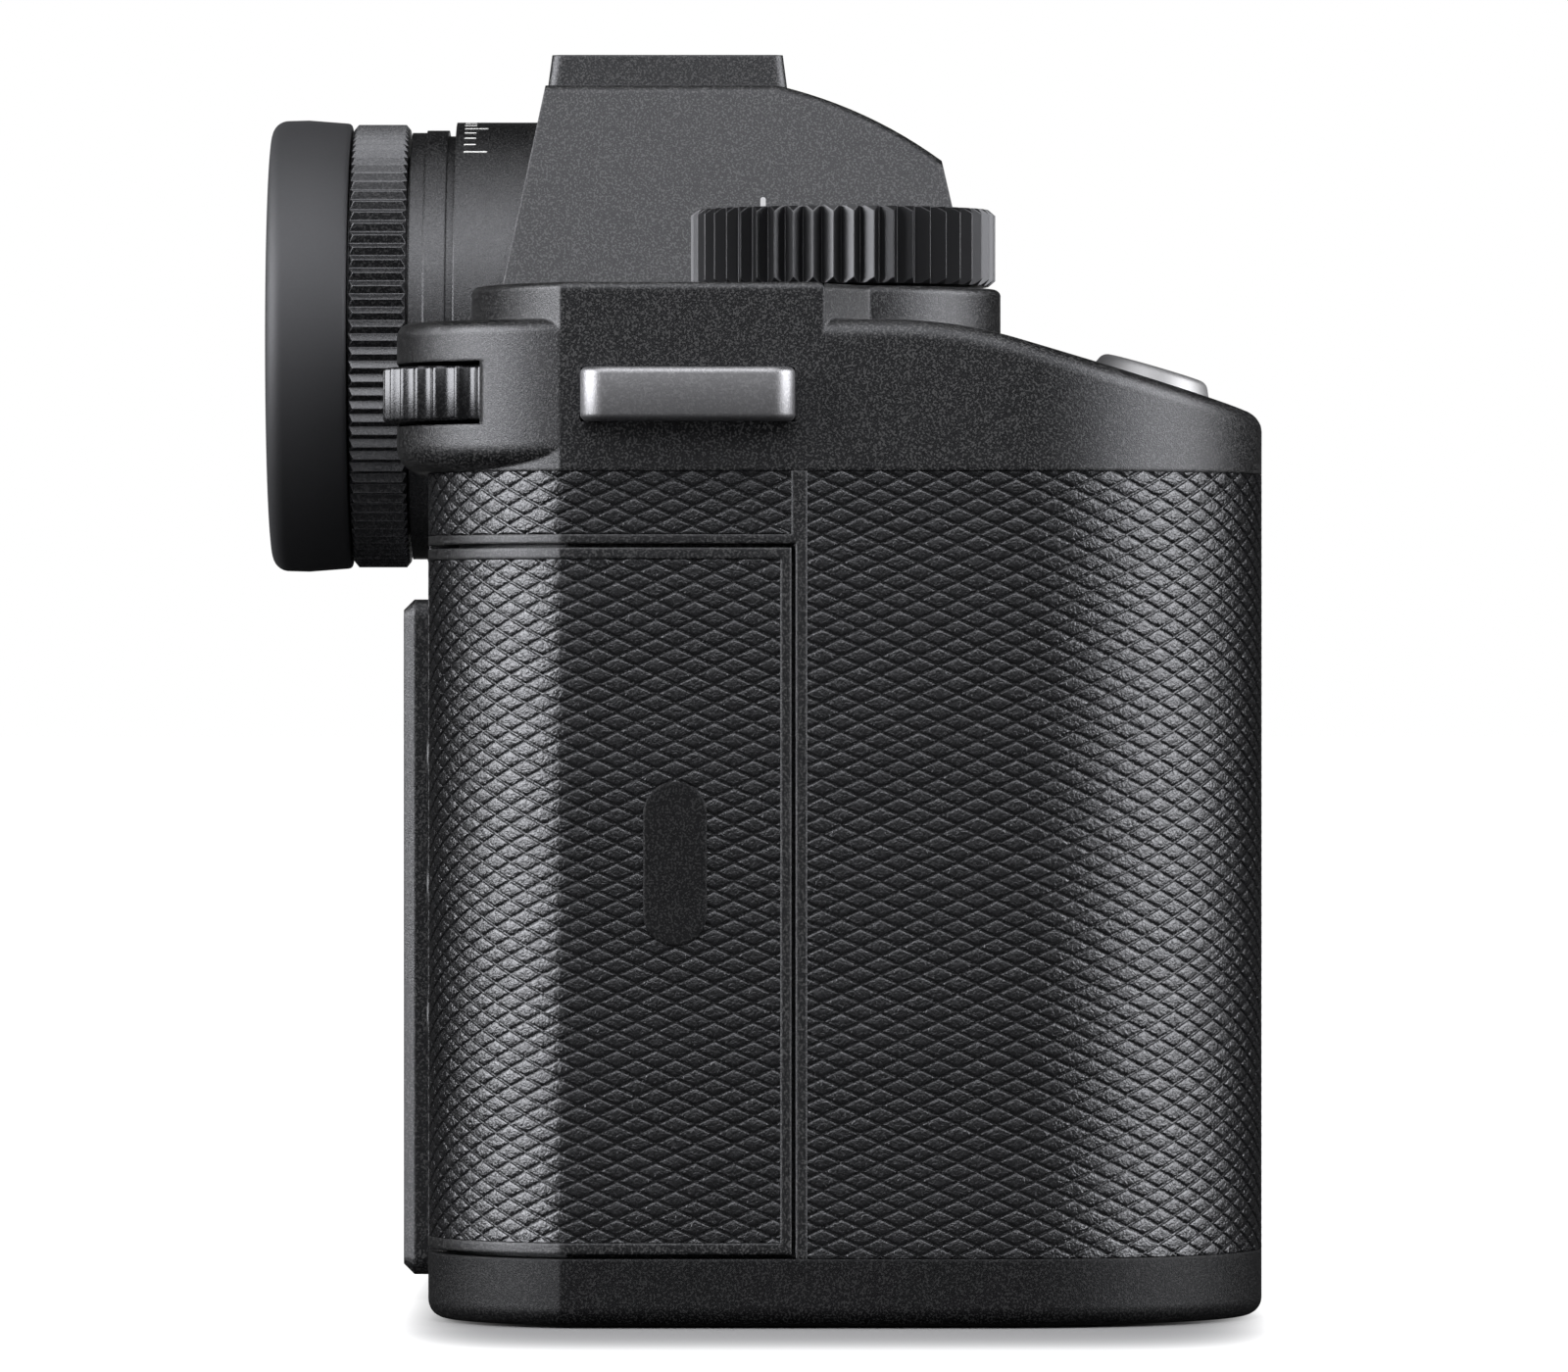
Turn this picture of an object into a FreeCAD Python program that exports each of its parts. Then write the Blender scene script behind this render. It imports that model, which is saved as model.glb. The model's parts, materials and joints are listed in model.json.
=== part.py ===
import FreeCAD, Part
import math
import os

from FreeCAD import Vector

# Mirrorless camera body without a lens, in millimetres.
# +Z up, the front faces -Y, the grip side faces -X, the lens axis is at x = 0.
# The origin is the centre of the tripod socket's mouth, on the base plane.

# Levels above the base plane
BASE_TOP = 5.5
WAIST_Z = 69.9
DECK_Z = 82.3
PLATFORM_Z = 85.3
HUMP_Z = 104.2
SHOE_BLOCK_Z = 107.0

# Plan of the body
GRIP_X = -79.0
PORT_X = 61.5
REAR_Y = 24.3
HOOD_Y = 26.9
FRONT_Y = -20.0
GRIP_Y = -45.0
CREASE_Y = 13.1
CORNER_X = -62.0
GRIP_NOSE_R = 22.0
GRIP_INNER_X = -46.0
GRIP_ROOT_R = 6.5
PORT_FRONT_R = 15.5
PORT_REAR_R = 10.0

# Walls, skins and clearances
WALL = 2.0
DECK_WALL = 1.8
LEATHER = 0.8
GAP = 0.35
FIT = 0.1
PIN_FIT = 0.05
SEAM_Y = -7.1
BASE_EDGE_R = 1.5

# Shoulder that falls to the front of the grip
SLOPE_DEG = 16.3
SLOPE_Y = -19.0
SLOPE_BLEND_R = 38.0
NOSE_EDGE_R = 2.6
NOSE_LAP = 0.3
SHOULDER_RIM_R = 1.5
RIM_R = 1.1

# Raised platform and thumb-wheel hood
PLATFORM_FRONT_Y = -8.5
PLATFORM_REAR_Y = 20.7
PLATFORM_END_X = -26.5
PLATFORM_RIM_R = 0.6
HOOD_END_X = -34.0
HOOD_LIP_R = 2.2

# Prism housing
HUMP_FOOT_HALF = 24.8
HUMP_TOP_HALF = 17.6
HUMP_REAR_FOOT_Y = 19.9
HUMP_REAR_TOP_Y = 15.4
BROW_Y = -4.6
BROW_END_Y = -18.8
BROW_END_Z = 97.6
BROW_BULGE = 0.8
HUMP_FRONT_FOOT_Y = -22.2
HUMP_EDGE_R = 1.0
HUMP_WALL = 2.2

# Accessory shoe
SHOE_BLOCK_FRONT_Y = -5.1
SHOE_BLOCK_REAR_Y = 14.9
SHOE_BLOCK_HALF = 13.6
SHOE_BLOCK_DRAFT = 0.5
SHOE_HALF = 11.0
SHOE_SLOT_HALF = 9.35
SHOE_SLOT_HEIGHT = 2.05
SHOE_MOUTH_HALF = 6.4
SHOE_RAIL = 1.1
SHOE_FLOOR = 0.8
SHOE_END_WALL = 1.6
SHOE_PIN_R = 1.5
SHOE_SMALL_PIN_R = 0.8

# Eyepiece, on an axis parallel to the lens axis
EYE_Z = 82.1
BARREL_R = 19.6
BARREL_FRONT_Y = 16.0
BARREL_REAR_Y = 23.4
BARREL_GROOVE_R = 18.4
BARREL_GROOVE = 0.7
BARREL_STEP_R = 18.9
BARREL_STEP_Y = 26.0
BARREL_END_R = 18.7
BARREL_END_Y = 27.3
SLEEVE_R = 16.5
SLEEVE_END_Y = 36.0
EYE_BORE_R = 14.8
DIOPTRE_R = 19.4
DIOPTRE_RIB = 0.45
DIOPTRE_RIBS = 102
DIOPTRE_LENGTH = 4.9
EYECUP_R = 19.8
EYECUP_FRONT_R = 19.5
EYECUP_REAR_Y = 39.6
EYECUP_MOUTH_R = 16.6
EYECUP_EDGE_R = 1.6
EYE_LENS_LENGTH = 4.6
EYE_LENS_REAR_Y = 34.0
EYE_LENS_TRAVEL = 1.0
EVF_HALF_WIDTH = 13.5
EVF_HALF_HEIGHT = 11.0
EVF_FRONT_Y = -9.0
EVF_BORE_R = 9.0
EVF_EDGE_R = 2.0
EVF_PANEL = 1.6

# Lens mount
LENS_Z = 42.0
FLANGE_Y = -22.5
MOUNT_R = 32.5
MOUNT_RING = 3.0
THROAT_R = 25.8
THROAT_RELIEF = 0.8
MOUNT_BOSS_R = 36.0
MOUNT_BOSS_Y = -21.6
BAYONET_TAB = 1.2
BAYONET_TABS = 3
BAYONET_FIRST_DEG = 30
BAYONET_SPAN_DEG = 62
BAYONET_TAB_R = 23.9
MOUNT_SCREWS = 6
MOUNT_SCREW_PITCH_R = 29.4
MOUNT_SCREW_R = 1.5
MOUNT_SLOT_REACH = 1.05
BAFFLE_DEPTH = 6.0
BAFFLE_WALL = 1.2
BAFFLE_MARGIN = 1.5
BAFFLE_CORNER_R = 1.0
CONTACT_LEDGE = 16.9
CONTACTS = 10
CONTACT_R = 0.75
CONTACT_PROUD = 0.6
CONTACT_PITCH_DEG = 6.5
CONTACT_RING_R = 22.4

# Lens release and its lock pin
RELEASE_X = 38.0
RELEASE_Z = 20.0
RELEASE_R = 5.0
RELEASE_TRAVEL = 1.6
LOCK_PIN_R = 1.3
LOCK_PIN_PROUD = 1.5

# Sensor stack behind the flange
FLANGE_DISTANCE = 20.0
FRAME_WIDTH = 36.0
FRAME_HEIGHT = 24.0
SHUTTER_HALF_WIDTH = 28.0
SHUTTER_FRONT_Y = -10.0
SHUTTER_DEPTH = 3.6
SHUTTER_PLATE = 0.6
LEAF_HEIGHT = 12.8
LEAF_OVERLAP = 0.3
LEAF_THICK = 0.3
LEAF_HALF_WIDTH = 24.0
LEAF_PARK = 0.7
SHUTTER_BORDER = 4.0
SHUTTER_RAIL = 1.5
GATE_MARGIN = 0.3
SENSOR_GLASS = 1.8
SENSOR_THICK = 3.0
SENSOR_BORDER = 4.0
SENSOR_WELL = 0.5
GLASS_BORDER = 2.0
STAGE_THICK = 1.6
STAGE_GAP = 0.3
STAGE_TRAVEL = 1.0
STAGE_SIDE = 9.0
STAGE_TOP = 7.0
STAGE_CORNER_R = 3.0
COIL_INSET = 4.0
COIL_R = 2.4
SENSOR_BASE_THICK = 1.6
SENSOR_BASE_HOLE_R = 6.0
POST_R = 2.0
BOARD_GAP = 2.4
BOARD_THICK = 1.6
BOARD_BORDER = 5.0
BOARD_LIFT = 4.0
BOARD_DROP = 14.0
CHIP_HALF = 8.0
CHIP_THICK = 1.2
MEMORY_X = 18.0
MEMORY_HALF_WIDTH = 4.0
MEMORY_HALF_HEIGHT = 6.0
MEMORY_THICK = 1.0

# Top dial
DIAL_X = -60.0
DIAL_Y = -10.1
DIAL_R = 12.65
DIAL_LOW_Z = 85.45
DIAL_TOP_Z = 91.8
DIAL_RIBS = 47
DIAL_RIB = 0.85
DIAL_CHAMFER = 0.55
DIAL_SHAFT_R = 4.0
COLLAR_R = 13.1
COLLAR_Z = 85.2
COLLAR_RIM_R = 0.6
WEB_REACH = 3.7

# Port-side dial
LEFT_DIAL_X = 45.0
LEFT_DIAL_Y = 2.0
LEFT_DIAL_R = 11.0
LEFT_DIAL_LOW_Z = 83.2
LEFT_DIAL_TOP_Z = 89.2
LEFT_DIAL_RIBS = 41
DIAL_SHAFT_DEPTH = 6.0

# Thumb wheel
WHEEL_X = -64.0
WHEEL_Y = 15.6
WHEEL_R = 12.4
WHEEL_Z = 76.35
WHEEL_THICK = 4.5
WHEEL_FLUTES = 30
WHEEL_FLUTE_R = 1.05
WHEEL_AXLE_R = 2.5

# Shutter button and other keys
SHUTTER_X = -62.0
SHUTTER_Y = -35.6
SHUTTER_R = 5.1
SHUTTER_PROUD = 1.3
SHUTTER_DRAFT = 0.35
SHUTTER_STEM_R = 2.6
SHUTTER_STEM = 3.0
SHUTTER_TRAVEL = 0.8
KEY_R = 2.7
KEY_PROUD = 0.7
KEY_DEPTH = 2.4
KEY_TRAVEL = 0.5
TOP_KEY_X = -42.5
TOP_KEY_Y = -14.4
POWER_KEY_X = 31.5
POWER_KEY_Y = -9.0
POWER_KEY_R = 3.4
FRONT_KEY_X = -36.0
FRONT_KEY_UP = 20.0
FRONT_KEY_DOWN = 20.0
REAR_KEY_X = -39.0
REAR_KEY_TOP_Z = 46.0
REAR_KEY_PITCH = 11.0
STICK_Z = 59.0
STICK_R = 3.6
STICK_NECK_R = 1.7
STICK_PIN_R = 0.8
STICK_PROUD = 2.4
STICK_TILT = 10.0

# Window over the top display
WINDOW_X = -37.0
WINDOW_Y = 6.0
WINDOW_WIDTH = 17.0
WINDOW_LENGTH = 22.0
WINDOW_THICK = 1.0
WINDOW_R = 1.5

# Strap lugs
LUG_FRONT_Y = -6.1
LUG_REAR_Y = 11.4
LUG_LOW_Z = 73.9
LUG_HIGH_Z = 78.3
LUG_PROUD = 4.4
LUG_BAR = 1.8
LUG_LEG = 2.2
LUG_ROOT = 1.6
LUG_EDGE_R = 0.8

# Tilting display
DISPLAY_LEFT_X = -30.0
DISPLAY_RIGHT_X = 50.0
DISPLAY_LOW_Z = 2.0
DISPLAY_TO_EYEPIECE = 2.8
DISPLAY_Y = 27.3
DISPLAY_THICK = 4.5
DISPLAY_EDGE = 0.9
DISPLAY_GLASS_MARGIN = 2.6
DISPLAY_GLASS = 0.5
DISPLAY_CORNER_R = 1.5
DISPLAY_GAP = 0.5
DISPLAY_BACK_EDGE = 1.0
ARM_THICK = 1.5
ARM_BORDER = 7.0
ARM_INSET = 6.0
HINGE_INSET_X = 16.0
HINGE_Y = 25.1
HINGE_LOW_Z = 3.2
HINGE_HIGH_Z = 58.3
HINGE_R = 1.1
HINGE_PIN_R = 0.5
HINGE_EAR = 3.0
HINGE_LUG = 2.5
HINGE_GAP = 0.3
ARM_TOP_DROP = 1.8

# Card door
DOOR_FRONT_Y = -5.8
DOOR_HIGH_Z = 63.6
DOOR_LOW_Z = 5.9
DOOR_THICK = 2.2
DOOR_FRAME = 0.9
DOOR_GAP = 0.35
DOOR_RIB = 0.75
DOOR_EDGE_X = -62.3
DOOR_HINGE_X = -60.5
DOOR_HINGE_INSET = 1.9
DOOR_KNUCKLE_R = 1.3
DOOR_PIN_R = 0.6
DOOR_EAR = 4.0
DOOR_SLIDE = 3.0
CARRIAGE_THICK = 2.6
PAD_CENTRE_Y = 3.7
PAD_LENGTH = 13.4
PAD_WIDTH = 5.2
PAD_LOW_Z = 31.1
PAD_PROUD = 0.1

# Card slots
CARDS_X = -43.0
CARDS_FRONT_Y = 6.4
CARDS_REAR_Y = 17.4
CARDS_LOW_Z = 18.0
CARDS_HIGH_Z = 52.0
THIN_CARD = 2.5
THIN_CARD_WIDTH = 24.6
THICK_CARD = 3.9
THICK_CARD_WIDTH = 30.0
CARD_REACH = 29.0

# Battery, its bay and its lever
BATTERY_X = -62.0
BATTERY_Y = -14.5
BATTERY_WIDTH = 20.0
BATTERY_LENGTH = 37.0
BATTERY_HEIGHT = 52.0
BATTERY_R = 3.0
BATTERY_CAP_RIM = 1.8
BATTERY_CAP = 5.0
BAY_WALL = 1.0
BAY_GAP = 0.4
BATTERY_TRAVEL = 60.0
LEVER_X = -43.0
LEVER_Y = -1.5
LEVER_R = 2.4
LEVER_LENGTH = 9.0
LEVER_THICK = 1.6
LEVER_SWING = 30.0

# Port covers and sockets
PORT_FRONT_Y = -1.5
PORT_REAR_Y = 12.6
PORT_SPLIT_Z = 37.0
PORT_LOW_Z = 11.0
PORT_HIGH_Z = 63.0
PORT_THICK = 2.0
PORT_KNUCKLE_R = 1.0
PORT_BLOCK_DEPTH = 12.0
JACK_R = 1.8
JACK_PITCH = 10.0
JACK_DROP = 7.0
PLUG_WIDTH = 3.2
SMALL_PLUG = 9.0
LARGE_PLUG = 14.0
PLUG_RISE = 8.0
PORT_BLOCK_WALL = 2.0

# Tripod socket and screws
TRIPOD_R = 3.175
TRIPOD_RING_R = 6.0
TRIPOD_DEPTH = 9.0
SCREW_R = 1.5
SCREW_HEAD = 1.2

# Derived places
BAFFLE_R = math.hypot(FRAME_WIDTH / 2 + BAFFLE_MARGIN, FRAME_HEIGHT / 2 + BAFFLE_MARGIN) \
    + BAFFLE_WALL + FIT
SENSOR_Y = FLANGE_Y + FLANGE_DISTANCE
SHUTTER_REAR_Y = SHUTTER_FRONT_Y + SHUTTER_DEPTH
SENSOR_REAR_Y = SENSOR_Y + SENSOR_THICK
STAGE_FRONT_Y = SENSOR_REAR_Y + STAGE_GAP
STAGE_REAR_Y = STAGE_FRONT_Y + STAGE_THICK
SENSOR_BASE_Y = STAGE_REAR_Y + STAGE_GAP
BOARD_Y = SENSOR_BASE_Y + SENSOR_BASE_THICK + BOARD_GAP
OPENING_LOW_Z = LENS_Z - FRAME_HEIGHT / 2
OPENING_HIGH_Z = LENS_Z + FRAME_HEIGHT / 2
BULKHEAD_Y = FRONT_Y + LEATHER + WALL
DISPLAY_HIGH_Z = EYE_Z - BARREL_R - DISPLAY_TO_EYEPIECE
DISPLAY_FRONT_Y = DISPLAY_Y - DISPLAY_THICK
ARM_FRONT_Y = DISPLAY_FRONT_Y - GAP - ARM_THICK
RECESS_Y = ARM_FRONT_Y - GAP
DOOR_HINGE_Y = REAR_Y - DOOR_HINGE_INSET
DOOR_RECESS = DOOR_THICK + DOOR_GAP
FAR = 200.0

AXES = {"x": Vector(1, 0, 0), "y": Vector(0, 1, 0), "z": Vector(0, 0, 1)}


# Shared shapes

def box(xs, ys, zs):
    """Block between two values on each axis."""
    size = (xs[1] - xs[0], ys[1] - ys[0], zs[1] - zs[0])
    return Part.makeBox(*size, Vector(xs[0], ys[0], zs[0]))


def rod(axis, centre, radius, start, end):
    """Cylinder along one axis; centre holds the two other coordinates."""
    base = list(centre)
    base.insert("xyz".index(axis), start)
    return Part.makeCylinder(radius, end - start, Vector(*base), AXES[axis])


def tube(axis, centre, outer, inner, start, end):
    return rod(axis, centre, outer, start, end).cut(rod(axis, centre, inner, start, end))


def flat(u, v):
    """Point of a plan outline."""
    return Vector(u, v, 0)


def side(u, v):
    """Point of an outline seen from the grip side, as y and z."""
    return Vector(0, u, v)


def front(u, v):
    """Point of an outline seen from the front, as x and z."""
    return Vector(u, 0, v)


def closed_wire(start, steps, place=flat):
    """Closed outline; a step is an end point, with a point on the way for an arc."""
    edges = []
    here = start
    for step in steps:
        end = step[-1]
        if len(step) == 1:
            curve = Part.LineSegment(place(*here), place(*end))
        else:
            curve = Part.Arc(place(*here), place(*step[0]), place(*end))
        edges.append(curve.toShape())
        here = end
    return Part.Wire(edges)


def polygon(points, place):
    """Closed wire with straight sides."""
    steps = [(point,) for point in points[1:]] + [(points[0],)]
    return closed_wire(points[0], steps, place)


def extruded(wire, start, end, axis):
    """Prism of a flat wire between two values on its own axis."""
    direction = AXES[axis]
    solid = Part.Face(wire).extrude(direction * (end - start))
    solid.translate(direction * start)
    return solid


def arc_point(centre, radius, degrees):
    angle = math.radians(degrees)
    return (centre[0] + radius * math.cos(angle), centre[1] + radius * math.sin(angle))


def edges_along(shape, axis, keep=None):
    """Straight edges parallel to an axis, with keep(point) as a filter."""
    found = []
    for edge in shape.Edges:
        if not isinstance(edge.Curve, Part.Line):
            continue
        run = edge.Vertexes[-1].Point.sub(edge.Vertexes[0].Point)
        if run.Length > 0 and run.cross(AXES[axis]).Length < 1e-6 * run.Length:
            if keep is None or keep(edge.CenterOfMass):
                found.append(edge)
    return found


def edges_at_level(shape, level):
    """Edges whose points all lie at one height."""
    box_of = [edge.BoundBox for edge in shape.Edges]
    pairs = zip(shape.Edges, box_of)
    return [edge for edge, b in pairs if abs(b.ZMin - level) < 1e-4 and abs(b.ZMax - level) < 1e-4]


def slab_block(xs, ys, zs, radius, axis):
    """Block whose four edges along one axis are rounded."""
    block = box(xs, ys, zs)
    return block.makeFillet(radius, edges_along(block, axis))


def turned(axis_point, profile):
    """Solid turned about a Y axis through (x, z); the profile is (y, radius) pairs."""
    x, z = axis_point
    points = [Vector(x + radius, y, z) for y, radius in profile]
    wire = Part.makePolygon(points + [points[0]])
    return Part.Face(wire).revolve(Vector(x, 0, z), AXES["y"], 360)


def turned_up(axis_point, profile):
    """Solid turned about a Z axis through (x, y); the profile is (z, radius) pairs."""
    x, y = axis_point
    points = [Vector(x + radius, y, z) for z, radius in profile]
    wire = Part.makePolygon(points + [points[0]])
    return Part.Face(wire).revolve(Vector(x, y, 0), AXES["z"], 360)


def ribbed_wire(centre, radius, depth, count, lean, place):
    """Outline of V-cut ribs; lean moves each valley towards one flank."""
    points = []
    for index in range(count):
        crest = 360 * index / count
        valley = crest + 360 * lean / count
        points.append(arc_point(centre, radius, crest))
        points.append(arc_point(centre, radius - depth, valley))
    return polygon(points, place)


# Body plan

def plan_wire(rear_y=REAR_Y):
    """Outline of the body from above, starting at the grip-side rear corner."""
    rise = rear_y - CREASE_Y
    run = CORNER_X - GRIP_X
    corner_r = (rise ** 2 + run ** 2) / (2 * rise)
    corner = (CORNER_X, rear_y - corner_r)
    crease = 180 - math.degrees(math.asin((CREASE_Y - corner[1]) / corner_r))
    nose = (GRIP_X + GRIP_NOSE_R, GRIP_Y + GRIP_NOSE_R)
    inner_r = GRIP_INNER_X - nose[0]
    inner = (nose[0], GRIP_Y + inner_r)
    root = (GRIP_INNER_X + GRIP_ROOT_R, FRONT_Y - GRIP_ROOT_R)
    port_front = (PORT_X - PORT_FRONT_R, FRONT_Y + PORT_FRONT_R)
    port_rear = (PORT_X - PORT_REAR_R, rear_y - PORT_REAR_R)
    return closed_wire((CORNER_X, rear_y), [
        (arc_point(corner, corner_r, (90 + crease) / 2), (GRIP_X, CREASE_Y)),
        ((GRIP_X, nose[1]),),
        (arc_point(nose, GRIP_NOSE_R, 225), (nose[0], GRIP_Y)),
        (arc_point(inner, inner_r, 315), (GRIP_INNER_X, inner[1])),
        ((GRIP_INNER_X, root[1]),),
        (arc_point(root, GRIP_ROOT_R, 135), (root[0], FRONT_Y)),
        ((port_front[0], FRONT_Y),),
        (arc_point(port_front, PORT_FRONT_R, 315), (PORT_X, port_front[1])),
        ((PORT_X, port_rear[1]),),
        (arc_point(port_rear, PORT_REAR_R, 45), (port_rear[0], rear_y)),
        ((CORNER_X, rear_y),),
    ])


def slab(inset, low, high, rear_y=REAR_Y):
    """Body plan, drawn in by an inset, between two levels."""
    wire = plan_wire(rear_y)
    if inset:
        wire = wire.makeOffset2D(-inset)
    return extruded(wire, low, high, "z")


def skin(outer, inner, low, high):
    """Wall between two insets of the body plan."""
    return slab(outer, low, high).cut(slab(inner, low, high))


def behind(y):
    return box((-FAR, FAR), (y, FAR), (-FAR, FAR))


def before(y):
    return box((-FAR, FAR), (-FAR, y), (-FAR, FAR))


def barrel_bore():
    return rod("y", (0, EYE_Z), BARREL_R + FIT, BARREL_FRONT_Y, REAR_Y + FAR)


def mount_bore(clearance):
    return rod("y", (0, LENS_Z), MOUNT_R + clearance, -FAR, FRONT_Y + FAR)


# Front shell, rear shell and base

def front_shell():
    """Front cover under the leather, with the boss round the lens mount."""
    shell = skin(LEATHER, LEATHER + WALL, BASE_TOP, WAIST_Z)
    boss = rod("y", (0, LENS_Z), MOUNT_BOSS_R, MOUNT_BOSS_Y, BULKHEAD_Y)
    boss = boss.common(box((-FAR, FAR), (-FAR, FAR), (BASE_TOP, WAIST_Z)))
    shell = shell.fuse(boss).common(before(SEAM_Y))
    shell = shell.cut(rod("y", (0, LENS_Z), MOUNT_R + FIT, -FAR, 0))
    for z in (LENS_Z + FRONT_KEY_UP, LENS_Z - FRONT_KEY_DOWN):
        shell = shell.cut(rod("y", (FRONT_KEY_X, z), KEY_R + GAP, -FAR, 0))
    return shell.cut(rod("y", (RELEASE_X, RELEASE_Z), RELEASE_R + GAP, -FAR, 0))


def door_zone(grow, clear=0.0):
    """Space of the card door in the rear corner, grown on its free sides."""
    return box((-FAR, DOOR_HINGE_X + grow), (DOOR_FRONT_Y - clear - grow, FAR),
               (BASE_TOP - grow, DOOR_HIGH_Z + clear + grow))


def carriage_pocket():
    """Runner space of the door carriage, open to the rear."""
    half = CARRIAGE_THICK / 2 + GAP
    return box((DOOR_HINGE_X - half, DOOR_HINGE_X + half),
               (CARDS_REAR_Y + GAP, FAR), (BASE_TOP, DOOR_HIGH_Z + DOOR_GAP))


def display_recess(grow=0.0):
    return box((DISPLAY_LEFT_X - DISPLAY_GAP - grow, DISPLAY_RIGHT_X + DISPLAY_GAP + grow),
               (RECESS_Y - grow, FAR),
               (DISPLAY_LOW_Z - DISPLAY_GAP - grow, DISPLAY_HIGH_Z + DISPLAY_GAP + grow))


def cards_window(clearance):
    return box((-FAR, CARDS_X + clearance), (CARDS_FRONT_Y - clearance, CARDS_REAR_Y + clearance),
               (CARDS_LOW_Z - clearance, CARDS_HIGH_Z + clearance))


def port_recess(clearance):
    """Space of both port covers in the port-side wall."""
    return box((PORT_X - PORT_THICK - clearance, FAR),
               (PORT_FRONT_Y - clearance, PORT_REAR_Y + 2 * PORT_KNUCKLE_R + clearance),
               (PORT_LOW_Z - clearance, PORT_HIGH_Z + clearance))


def rear_shell():
    """Rear cover with the door recess, its rib, the display recess and key holes."""
    outer = slab(0, BASE_TOP, WAIST_Z).common(behind(SEAM_Y))
    hollow = slab(WALL, BASE_TOP, WAIST_Z)
    hollow = hollow.cut(display_recess(WALL))
    door_back = skin(0, DOOR_RECESS + WALL, BASE_TOP, WAIST_Z).common(door_zone(WALL, DOOR_GAP))
    hollow = hollow.cut(door_back)
    port_back = box((PORT_X - PORT_THICK - WALL, PORT_X),
                    (PORT_FRONT_Y - WALL, PORT_REAR_Y + 2 * PORT_KNUCKLE_R + WALL),
                    (PORT_LOW_Z - WALL, PORT_HIGH_Z + WALL))
    hollow = hollow.cut(port_back)
    shell = outer.cut(hollow).cut(display_recess())
    door_space = skin(0, DOOR_RECESS, BASE_TOP, WAIST_Z).common(door_zone(0, DOOR_GAP))
    shell = shell.cut(door_space).cut(carriage_pocket()).cut(cards_window(FIT))
    shell = shell.cut(thumb_leather_space()).cut(barrel_bore())
    shell = shell.cut(port_recess(GAP)).cut(port_block_space(FIT))
    for z in rear_key_levels():
        shell = shell.cut(rod("y", (REAR_KEY_X, z), KEY_R + GAP, 0, FAR))
    shell = shell.cut(rod("y", (REAR_KEY_X, STICK_Z), STICK_R + GAP, 0, FAR))
    return shell


def base_plate():
    """Base with a rounded lower edge and the openings for battery and socket."""
    plate = slab(0, 0, BASE_TOP)
    plate = plate.makeFillet(BASE_EDGE_R, edges_at_level(plate, 0))
    plate = plate.cut(battery_prism(BATTERY_CAP_RIM + GAP, -1, BASE_TOP + 1))
    plate = plate.cut(rod("z", (0, 0), TRIPOD_RING_R + FIT, -1, BASE_TOP + 1))
    plate = plate.cut(display_recess())
    plate = plate.cut(lever_pocket()).fuse(display_lugs())
    for place in base_screw_places():
        plate = plate.cut(rod("z", place, SCREW_R + FIT, -1, SCREW_HEAD + GAP))
    return plate


def base_screw_places():
    """Screw heads along the front and rear edges of the base."""
    reach = (PORT_X - GRIP_INNER_X) / 4
    row = [GRIP_INNER_X + WALL * 4 + step * reach for step in (0, 2, 3)]
    front_row = [(x, FRONT_Y + 4 * WALL) for x in row]
    rear_row = [(x, RECESS_Y - 2 * WALL) for x in row]
    return front_row + rear_row


def base_screws():
    heads = []
    for place in base_screw_places():
        head = rod("z", place, SCREW_R, GAP, SCREW_HEAD + GAP)
        slot = box((place[0] - SCREW_R, place[0] + SCREW_R),
                   (place[1] - GAP, place[1] + GAP), (GAP, 2 * GAP))
        heads.append(head.cut(slot))
    return Part.makeCompound(heads)


# Leather

def front_leather():
    """Embossed skin over the front shell, both halves."""
    leather = skin(0, LEATHER, BASE_TOP, WAIST_Z).common(before(SEAM_Y))
    leather = leather.cut(rod("y", (0, LENS_Z), MOUNT_BOSS_R, -FAR, 0))
    for z in (LENS_Z + FRONT_KEY_UP, LENS_Z - FRONT_KEY_DOWN):
        leather = leather.cut(rod("y", (FRONT_KEY_X, z), KEY_R + GAP, -FAR, 0))
    return leather.cut(rod("y", (RELEASE_X, RELEASE_Z), RELEASE_R + GAP, -FAR, 0))


def grip_leather():
    return front_leather().common(box((-FAR, 0), (-FAR, FAR), (0, FAR)))


def port_leather():
    return front_leather().common(box((0, FAR), (-FAR, FAR), (0, FAR)))


def thumb_leather_space():
    """Strip above the card door, round the rear corner to the keys."""
    strip = skin(0, LEATHER, DOOR_HIGH_Z + DOOR_GAP + DOOR_RIB, WAIST_Z)
    zone = box((-FAR, REAR_KEY_X - 3 * KEY_R), (DOOR_FRONT_Y, FAR), (0, FAR))
    return strip.common(zone)


def thumb_leather():
    return thumb_leather_space()


# Top plate

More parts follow.
